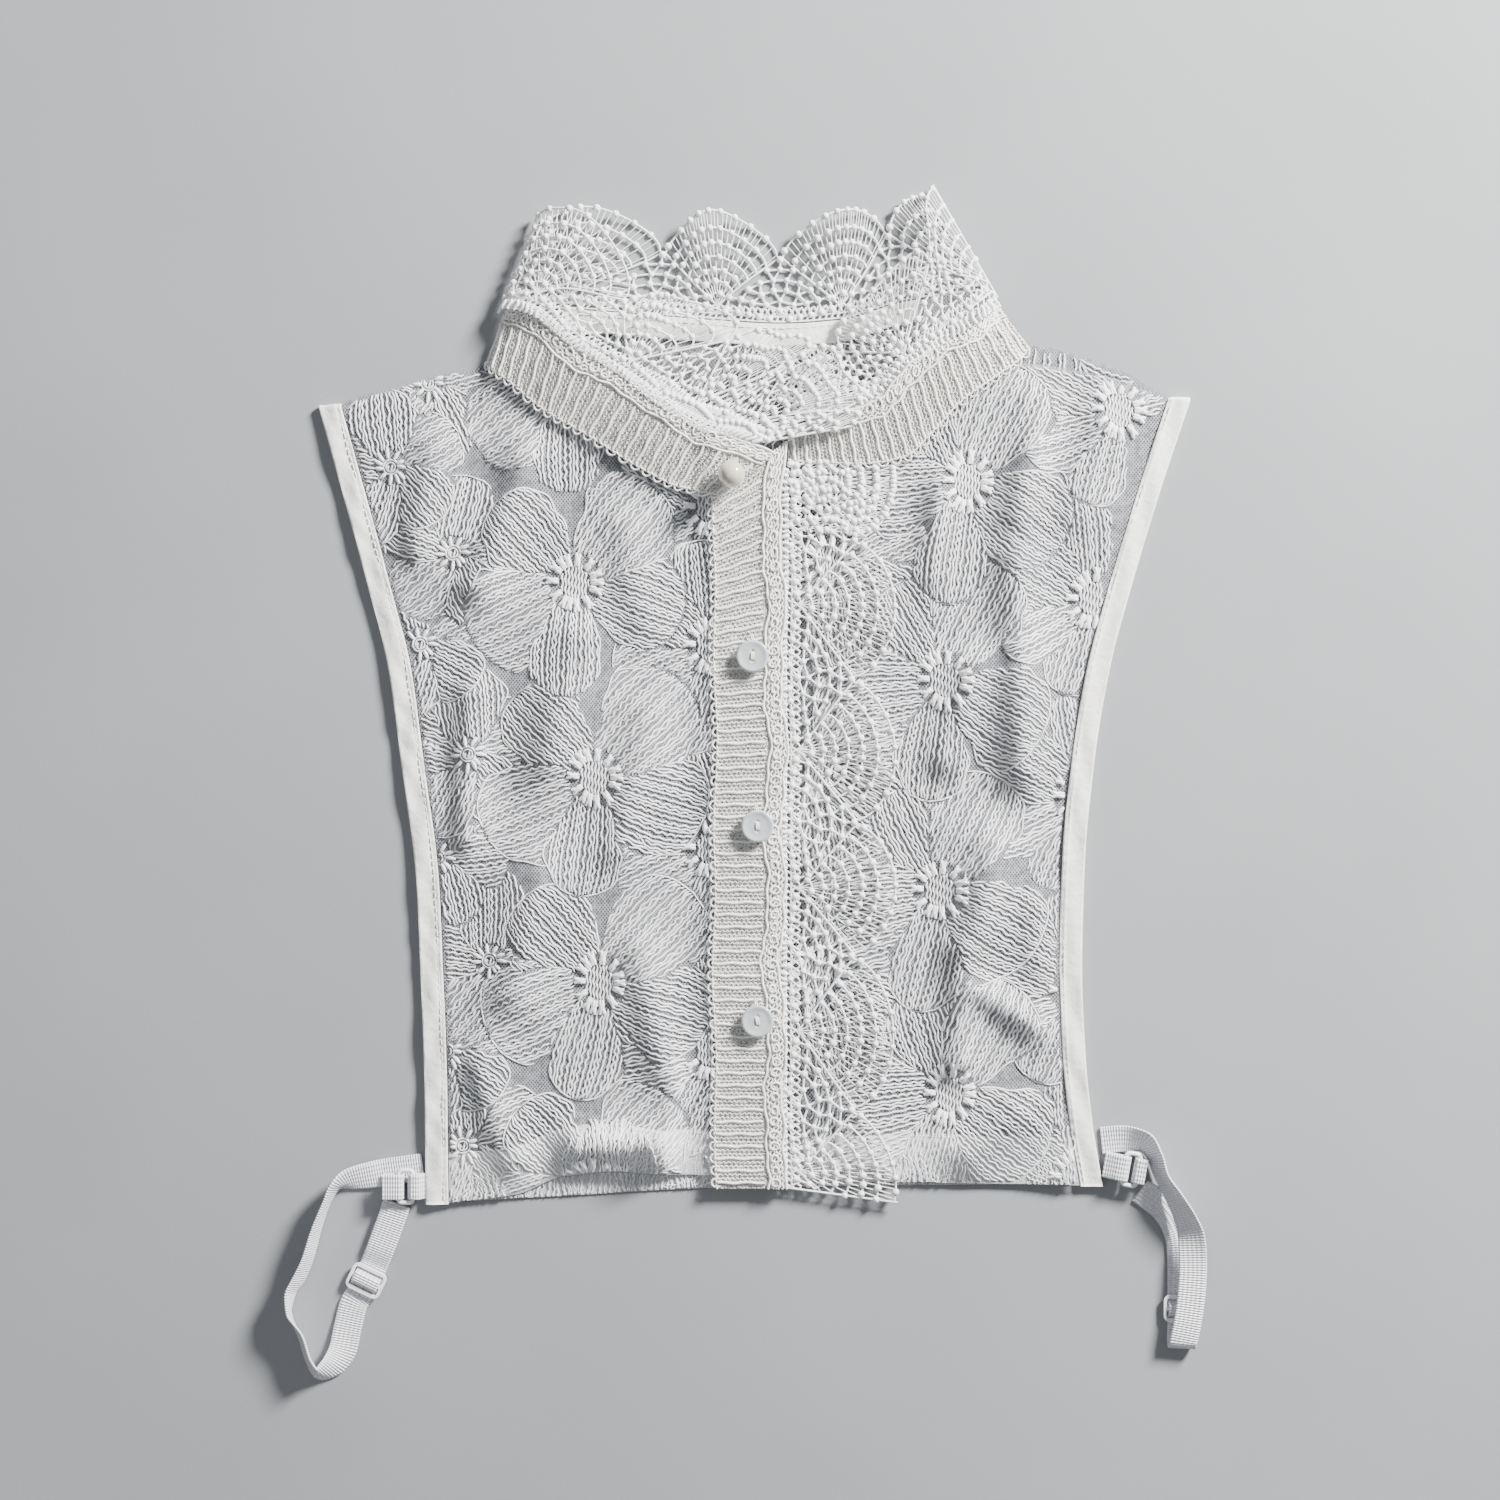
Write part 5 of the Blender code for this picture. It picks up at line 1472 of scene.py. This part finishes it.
def make_binding(name, node, edge, side, looks):
    """One strip up the back, over the shoulder tip and down the front, folded and stitched."""
    bottom, top = edge[0][0], edge[-1][0]
    rise = np.linspace(bottom, top, BINDING_STEPS)
    low, high = BINDING_WALL / 2, BINDING_WALL / 2 + BINDING_WALL + 0.7
    turn = np.linspace(-math.pi / 2, math.pi / 2, 10)[1:-1]
    radius = (high - low) / 2
    y = np.concatenate([rise, top + radius * np.cos(turn), rise[::-1]])
    z = np.concatenate(
        [
            np.full(BINDING_STEPS, low),
            low + radius + radius * np.sin(turn),
            np.full(BINDING_STEPS, high),
        ]
    )
    outer = along(edge, y)[:, 0]
    path = np.stack([outer + side * BINDING_WIDTH / 2, y, z], -1)
    half = np.zeros_like(path)
    half[:, 0] = BINDING_WIDTH / 2
    half *= side
    across = BAND_ACROSS[None, :]
    run = np.arange(len(path))[:, None] * (top - bottom) / BINDING_STEPS
    pucker = 0.2 * np.sin(run * 2.1 + 2 * np.sin(run / 5)) * ease((across - 0.25) / 0.6)
    slack = 0.3 * np.sin(run / 6.5 + 1.4 * np.sin(run / 17) + 2.4 * across)
    slack += 0.14 * np.sin(run / 3.1 + 2.2 * np.sin(run / 11) - 3.0 * across)
    seam = -0.3 * np.exp(-(((across - SEAM_ACROSS) / 0.09) ** 2))
    folds = (pucker + slack + seam) * (np.abs(across) < 0.97)
    points, faces, uv = band(path, half, BINDING_WALL * 0.75, folds=folds)
    satin = add_piece(name, points, faces, looks["satin"], (node,), "satin", uv)
    parts = []
    seam_at = BINDING_WIDTH * (1 + SEAM_ACROSS) / 2
    for start in np.arange(bottom + 1.5, top - 3, 2.8):
        sy = np.linspace(start, start + 2.0, 4)
        sx = along(edge, sy)[:, 0] + side * seam_at
        sz = high + BINDING_WALL * 0.375 + 0.1 * np.sin(np.linspace(0, math.pi, 4)) - 0.06
        parts.append(tube(np.stack([sx, sy, sz], -1), 0.26, 4))
    stitches = add_piece(f"{name}_stitches", *joined(parts), looks["stitch"], (), "satin")


def make_neck_tape(looks):
    """The tape that finishes the inside of the back neck seam."""
    share = np.linspace(0.27, 0.70, 80)
    top = along(BACK_TOP, share)[:, 0] - 0.1
    left, right = left_edge(top) + BINDING_WIDTH, right_edge(top) - BINDING_WIDTH
    x = left + share * (right - left)
    path = np.stack([x, top - NECK_TAPE_WIDTH / 2, np.full_like(x, CLOTH + GAP + TAPE / 2)], -1)
    half = np.zeros_like(path)
    half[:, 1] = NECK_TAPE_WIDTH / 2
    run = x[:, None]
    across = BAND_ACROSS
    folds = 0.14 * np.sin(run / 3.1 + 1.1 * np.sin(run / 7) + across) * (np.abs(across) < 0.97)
    points, faces, uv = band(path, half, 0.55, folds=folds)
    tape = add_piece("neck_tape_satin", points, faces, looks["satin"], ("neck_tape",), "satin", uv)
    parts = []
    for start in np.arange(x[0] + 2, x[-1] - 3, 2.9):
        sx = np.linspace(start, start + 2.0, 4)
        sy = np.interp(sx, x, top) - 1.7
        sz = CLOTH + GAP + TAPE / 2 + 0.36 + 0.14 * np.sin(np.linspace(0, math.pi, 4))
        parts.append(tube(np.stack([sx, sy, sz], -1), 0.24, 4))
    stitches = add_piece("neck_tape_stitches", *joined(parts), looks["stitch"], (), "satin")


# Straps and hardware


def through_slider(place):
    """A strap's way through its slider: under the end bars and over the middle one."""
    x, y, z, turn = place
    ahead = math.radians(turn)
    over = z + SLIDER_THICKNESS / 2 + STRAP_WALL / 2 + 0.25
    under = STRAP_WALL / 2 + 0.05
    way = ((5.6, under), (3.3, under), (2.2, (over + under) / 2), (1.1, over), (0, over + 0.05))
    steps = list(way) + [(-away, height) for away, height in reversed(way[:-1])]
    return tuple(
        (x + away * math.cos(ahead), y + away * math.sin(ahead), height, 0.0)
        for away, height in steps
    )


def strap_line(table, turns, count):
    """A strap's middle line, and half its width as a vector at each point.

    turns are the row numbers where the strap folds back on itself.
    """
    at = np.linspace(0, len(table) - 1, count)
    rows = along_rows(table, at)
    path, roll = rows[:, :3], np.radians(rows[:, 3])
    ahead = np.gradient(path[:, :2], axis=0)
    side = np.stack([-ahead[:, 1], ahead[:, 0]], -1)
    for turn in turns:
        side[at > turn] *= -1
    weight = np.linalg.norm(side, axis=1, keepdims=True)
    side = side / np.maximum(weight, 1e-9)
    for turn in turns:
        near = np.abs(at - turn) < 0.9
        kept = np.flatnonzero(~near)
        for axis in range(2):
            side[near, axis] = np.interp(at[near], at[kept], side[kept, axis])
    side /= np.linalg.norm(side, axis=1, keepdims=True)
    across = np.stack(
        [side[:, 0] * np.cos(roll), side[:, 1] * np.cos(roll), np.sin(roll)], -1
    )
    half_high = (
        np.abs(np.sin(roll)) * STRAP_WIDTH / 2 + np.abs(np.cos(roll)) * STRAP_WALL / 2
    )
    path[:, 2] = np.maximum(path[:, 2], half_high + 0.03)
    return path, across * STRAP_WIDTH / 2


def loop_line(ring, side, length, ends):
    """Elastic folded round one bar of a ring: its middle line and half width."""
    x, y, z, turn = ring
    fold = np.linspace(-math.pi / 2, math.pi / 2, 17)
    bar = side * RING_HALF[0]
    away = bar - side * LOOP_RADIUS * np.cos(fold)
    height = z + LOOP_RADIUS * np.sin(fold)
    far = side * (RING_HALF[0] + length)
    near = side * (RING_HALF[0] + min(2.5, length / 2))
    lower = np.linspace(0, 1, 7)[:-1]
    inward = far + (near - far) * lower
    outward = far + (near - far) * lower[::-1]
    away = np.concatenate([inward, [near], away, [near], outward])
    height = np.concatenate(
        [
            ends[0] + (z - LOOP_RADIUS - ends[0]) * lower,
            [z - LOOP_RADIUS],
            height,
            [z + LOOP_RADIUS],
            ends[1] + (z + LOOP_RADIUS - ends[1]) * lower[::-1],
        ]
    )
    turned_by = math.radians(turn)
    ahead = np.array([math.cos(turned_by), math.sin(turned_by), 0])
    across = np.array([-math.sin(turned_by), math.cos(turned_by), 0])
    path = np.array([x, y, 0]) + away[:, None] * ahead
    path[:, 2] = height
    return path, np.repeat(across[None] * LOOP_WIDTH / 2, len(path), 0)


def add_elastic(name, node, path, half, looks):
    points, faces, uv = band(path, half, STRAP_WALL * 0.9)
    piece = add_piece(name, points, faces, looks["elastic"], (node,), "elastic", uv)


def rounded_box(half_x, half_y, corner, centre_x=0.0, steps=4):
    """Points of a rounded rectangle."""
    points = []
    for quarter in range(4):
        sign_x = (1, -1, -1, 1)[quarter]
        sign_y = (1, 1, -1, -1)[quarter]
        for step in range(steps):
            turn = math.pi / 2 * (quarter + step / (steps - 1))
            points.append(
                (
                    centre_x + sign_x * (half_x - corner) + corner * math.cos(turn),
                    sign_y * (half_y - corner) + corner * math.sin(turn),
                )
            )
    return points


def make_ring(name, node, place, looks):
    """An oblong ring of round plastic bar."""
    x, y, z, turn = place
    turned_by = math.radians(turn)
    outline = np.array(rounded_box(*RING_HALF, 1.4, steps=7))
    px = x + outline[:, 0] * math.cos(turned_by) - outline[:, 1] * math.sin(turned_by)
    py = y + outline[:, 0] * math.sin(turned_by) + outline[:, 1] * math.cos(turned_by)
    path = np.stack([px, py, np.full_like(px, z)], -1)
    points, faces = tube(path, RING_BAR / 2, 14, closed=True)
    add_piece(name, points, faces, looks["plastic"], (node,), "plastic")


def make_slider(name, node, place, looks):
    """A plate with a bar between two slots, with its edges rounded over."""
    round_over = 0.22
    curve = bpy.data.curves.new(name, "CURVE")
    curve.dimensions = "2D"
    curve.fill_mode = "BOTH"
    curve.extrude = (SLIDER_THICKNESS / 2 - round_over) * MM
    curve.bevel_depth = round_over * MM
    curve.bevel_resolution = 3
    curve.offset = -round_over * MM
    slot = (SLIDER_LENGTH - 3 * SLIDER_BAR) / 2
    slot_middle = (SLIDER_BAR + slot) / 2
    outlines = [rounded_box(SLIDER_LENGTH / 2, SLIDER_WIDTH / 2, 2.4, steps=9)]
    for side in (-1, 1):
        outlines.append(
            rounded_box(slot / 2, SLIDER_SLOT_WIDTH / 2, 0.6, side * slot_middle, 5)
        )
    for outline in outlines:
        spline = curve.splines.new("POLY")
        spline.points.add(len(outline) - 1)
        for point, (px, py) in zip(spline.points, outline):
            point.co = (px * MM, py * MM, 0, 1)
        spline.use_cyclic_u = True
    curve.materials.append(looks["plastic"])
    piece = add_object(name, curve)
    piece.location = [(c + o) * MM for c, o in zip(place[:3], OFFSET)]
    piece.rotation_euler = (0, 0, math.radians(place[3]))
    bpy.context.view_layer.update()
    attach(piece, "root")
    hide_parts(node)


def make_straps(looks):
    path, half = strap_line(LEFT_TO_SLIDER + through_slider(SLIDER_LEFT) + LEFT_TO_BACK, (4,), 420)
    add_elastic("elastic_left", "strap_left", path, half, looks)
    way = RIGHT_TO_SLIDER + through_slider(SLIDER_RIGHT) + RIGHT_TO_BACK
    path, half = strap_line(way, (len(RIGHT_TO_SLIDER) + SLIDER_ROWS + 2,), 380)
    add_elastic("elastic_right", "strap_right", path, half, looks)
    for name, node, ring, side, length, ends, rests in (
        ("elastic_tab_left", "tab_left", RING_LEFT, 1, 3.9, (1.7, 3.0), "ring_bar_left"),
        ("elastic_loop_left", "strap_loop_left", RING_LEFT, -1, 5.6, (2.4, 5.3), "ring_bar_left"),
        ("elastic_tab_right", "tab_right", RING_RIGHT, -1, 7.1, (1.7, 3.0), "ring_bar_right"),
        ("elastic_loop_right", "strap_loop_right", RING_RIGHT, 1, 2.6, (2.4, 5.3), "ring_bar_right"),
    ):
        path, half = loop_line(ring, side, length, ends)
        add_elastic(name, node, path, half, looks)
    make_ring("ring_bar_left", "ring_left", RING_LEFT, looks)
    make_ring("ring_bar_right", "ring_right", RING_RIGHT, looks)
    make_slider("slider_plate_left", "slider_left", SLIDER_LEFT, looks)
    make_slider("slider_plate_right", "slider_right", SLIDER_RIGHT, looks)


# Buttons


def turned(profile, steps):
    """Points and faces of a turned shape. The profile starts and ends on the axis."""
    turn = 2 * np.pi * np.arange(steps) / steps
    rings = np.array(profile[1:-1], float)
    ring_points = np.stack(
        [
            rings[:, :1] * np.cos(turn)[None, :],
            rings[:, :1] * np.sin(turn)[None, :],
            np.repeat(rings[:, 1:], steps, 1),
        ],
        -1,
    )
    points = ring_points.reshape(-1, 3)
    faces = [tuple(face) for face in grid_faces(len(rings), steps, False, True)]
    top, bottom = len(points), len(points) + 1
    last = (len(rings) - 1) * steps
    for i in range(steps):
        after = (i + 1) % steps
        faces.append((top, i, after))
        faces.append((bottom, last + after, last + i))
    poles = [(0, 0, profile[0][1]), (0, 0, profile[-1][1])]
    return np.concatenate([points, poles]), faces


def make_button(number, middle, looks):
    """A two-hole shirt button with a dished face, and the thread that holds it."""
    low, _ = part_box(f"button_{number}")
    foot = low[2] / MM
    radius = BUTTON_DIAMETER / 2
    profile = [(0, 1.75)]
    profile += [(radius * r, 1.75 + 0.1 * r) for r in (0.08, 0.16, 0.24, 0.32, 0.42, 0.52)]
    profile += [(radius * r, h) for r, h in ((0.60, 1.84), (0.68, 1.93), (0.76, 2.06), (0.83, 2.18))]
    profile += [(radius * r, h) for r, h in ((0.89, 2.22), (0.95, 2.12), (0.985, 1.86), (1.0, 1.5))]
    profile += [(radius * r, h) for r, h in ((1.0, 1.1), (0.96, 0.7), (0.88, 0.3), (0.78, 0.05))]
    profile += [(radius * 0.5, 0.0), (0, 0.0)]
    points, faces = turned(profile, 64)
    upper = points[:, 2] > 1.2
    for side in (-1, 1):
        away = np.hypot(points[:, 0], points[:, 1] - side * 1.3)
        points[:, 2] -= upper * 0.75 * np.exp(-((away / 0.62) ** 4))
    points = points + (middle[0], middle[1], foot)
    add_piece(f"shirt_button_{number}", points, faces, looks["button"], (f"button_{number}",), "button")
    parts = []
    for strand in (-0.42, 0.0, 0.42):
        turn = np.linspace(0, math.pi, 11)
        lean = 0.3 * (number - 2)
        y = middle[1] - 1.45 * np.cos(turn)
        x = middle[0] + strand + lean * np.cos(turn) * 0.6
        z = foot + 1.2 + 0.85 * np.sin(turn) ** 0.6
        parts.append(tube(np.stack([x, y, z], -1), 0.27, 6))
    start = np.array([middle[0] - 0.2, middle[1] + radius - 0.6, foot - 0.1])
    for strand in (-0.35, 0.3):
        step = np.linspace(0, 1, 6)
        x = start[0] + strand + 0.4 * np.sin(step * 3 + number)
        parts.append(tube(np.stack([x, start[1] + 3.0 * step, start[2] + 0 * step], -1), 0.3, 5))
    add_piece(f"button_thread_{number}", *joined(parts), looks["cotton"], (), "button")


def make_pearl(looks):
    """A pearl on a short shank of thread."""
    low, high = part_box("pearl_button")
    radius = PEARL_DIAMETER / 2
    foot = low[2] / MM
    centre = high[2] / MM - radius
    turn = np.linspace(0, math.radians(158), 22)
    profile = [(radius * math.sin(a), centre + radius * math.cos(a)) for a in turn]
    profile += [(1.7, foot + 0.3), (1.5, foot), (0, foot)]
    points, faces = turned(profile, 48)
    points = points + (PEARL[0], PEARL[1], 0)
    add_piece("pearl", points, faces, looks["pearl"], ("pearl_button",), "pearl")


# Floor, lights and camera


def make_stage():
    made, tree, shader = new_material("Studio floor", 0.9)
    vector = millimetres(tree)
    colour = tint(tree, noise(tree, vector, 0.01, 2.0), (0.255, 0.263, 0.275), (0.27, 0.278, 0.29))
    tree.links.new(colour, shader.inputs["Base Color"])
    bumped(tree, shader, noise(tree, vector, 0.8, 2.0), 0.03)
    half = 3.0
    mesh = bpy.data.meshes.new("floor")
    corners = [(-half, -half, 0), (half, -half, 0), (half, half, 0), (-half, half, 0)]
    mesh.from_pydata(corners, [], [(0, 1, 2, 3)])
    mesh.materials.append(made)
    floor = add_object("floor", mesh)
    floor.location.z = -0.0001


def add_light(name, location, size, power, colour=(1, 1, 1)):
    data = bpy.data.lights.new(name, "AREA")
    data.shape = "DISK"
    data.size = size
    data.energy = power
    data.color = colour
    light = add_object(name, data)
    light.location = location
    aim = -np.array(location, float)
    flat = math.hypot(aim[0], aim[1])
    light.rotation_euler = (math.atan2(flat, -aim[2]), 0, math.atan2(aim[1], aim[0]) - math.pi / 2)


def make_lights():
    add_light("Key", (0.92, 0.86, 0.66), 0.36, 116.0, (1.0, 0.99, 0.97))
    add_light("Fill", (-0.7, -0.3, 1.4), 1.2, 6.5, (0.96, 0.98, 1.0))
    world = bpy.data.worlds.new("Studio")
    world.use_nodes = True
    background = world.node_tree.nodes["Background"]
    background.inputs["Color"].default_value = (0.92, 0.95, 1.0, 1)
    background.inputs["Strength"].default_value = 0.24
    bpy.context.scene.world = world


def make_camera():
    data = bpy.data.cameras.new("Camera")
    data.sensor_width = SENSOR
    data.lens = SENSOR * CAMERA_HEIGHT / FRAME_WIDTH
    data.clip_start = 0.01
    camera = add_object("Camera", data)
    camera.location = (FRAME_MIDDLE[0] * MM, FRAME_MIDDLE[1] * MM, (CAMERA_HEIGHT + CAMERA_LIFT) * MM)
    bpy.context.scene.camera = camera


def main():
    make_camera()
    make_lights()
    make_stage()
    looks = make_materials()
    for name, columns, rows, flowers, pitch, step, gathers in (
        ("back", 100, 100, ON_BACK, 3.1, 1.6, GATHERS_BACK),
        ("left", 90, 170, ON_LEFT, THREAD_PITCH, THREAD_STEP, GATHERS_LEFT),
        ("right", 90, 170, ON_RIGHT, THREAD_PITCH, THREAD_STEP, GATHERS_RIGHT),
    ):
        node = "back_panel" if name == "back" else f"front_{name}"
        make_panel(name, node, columns, rows, flowers, pitch, step, gathers, looks)
    make_neck_tape(looks)
    make_binding("satin_left", "binding_left", LEFT_EDGE, 1, looks)
    make_binding("satin_right", "binding_right", RIGHT_EDGE, -1, looks)
    make_trims(looks)
    make_lace(looks)
    make_straps(looks)
    for number, middle in enumerate(BUTTONS, 1):
        make_button(number, middle, looks)
    make_pearl(looks)


main()
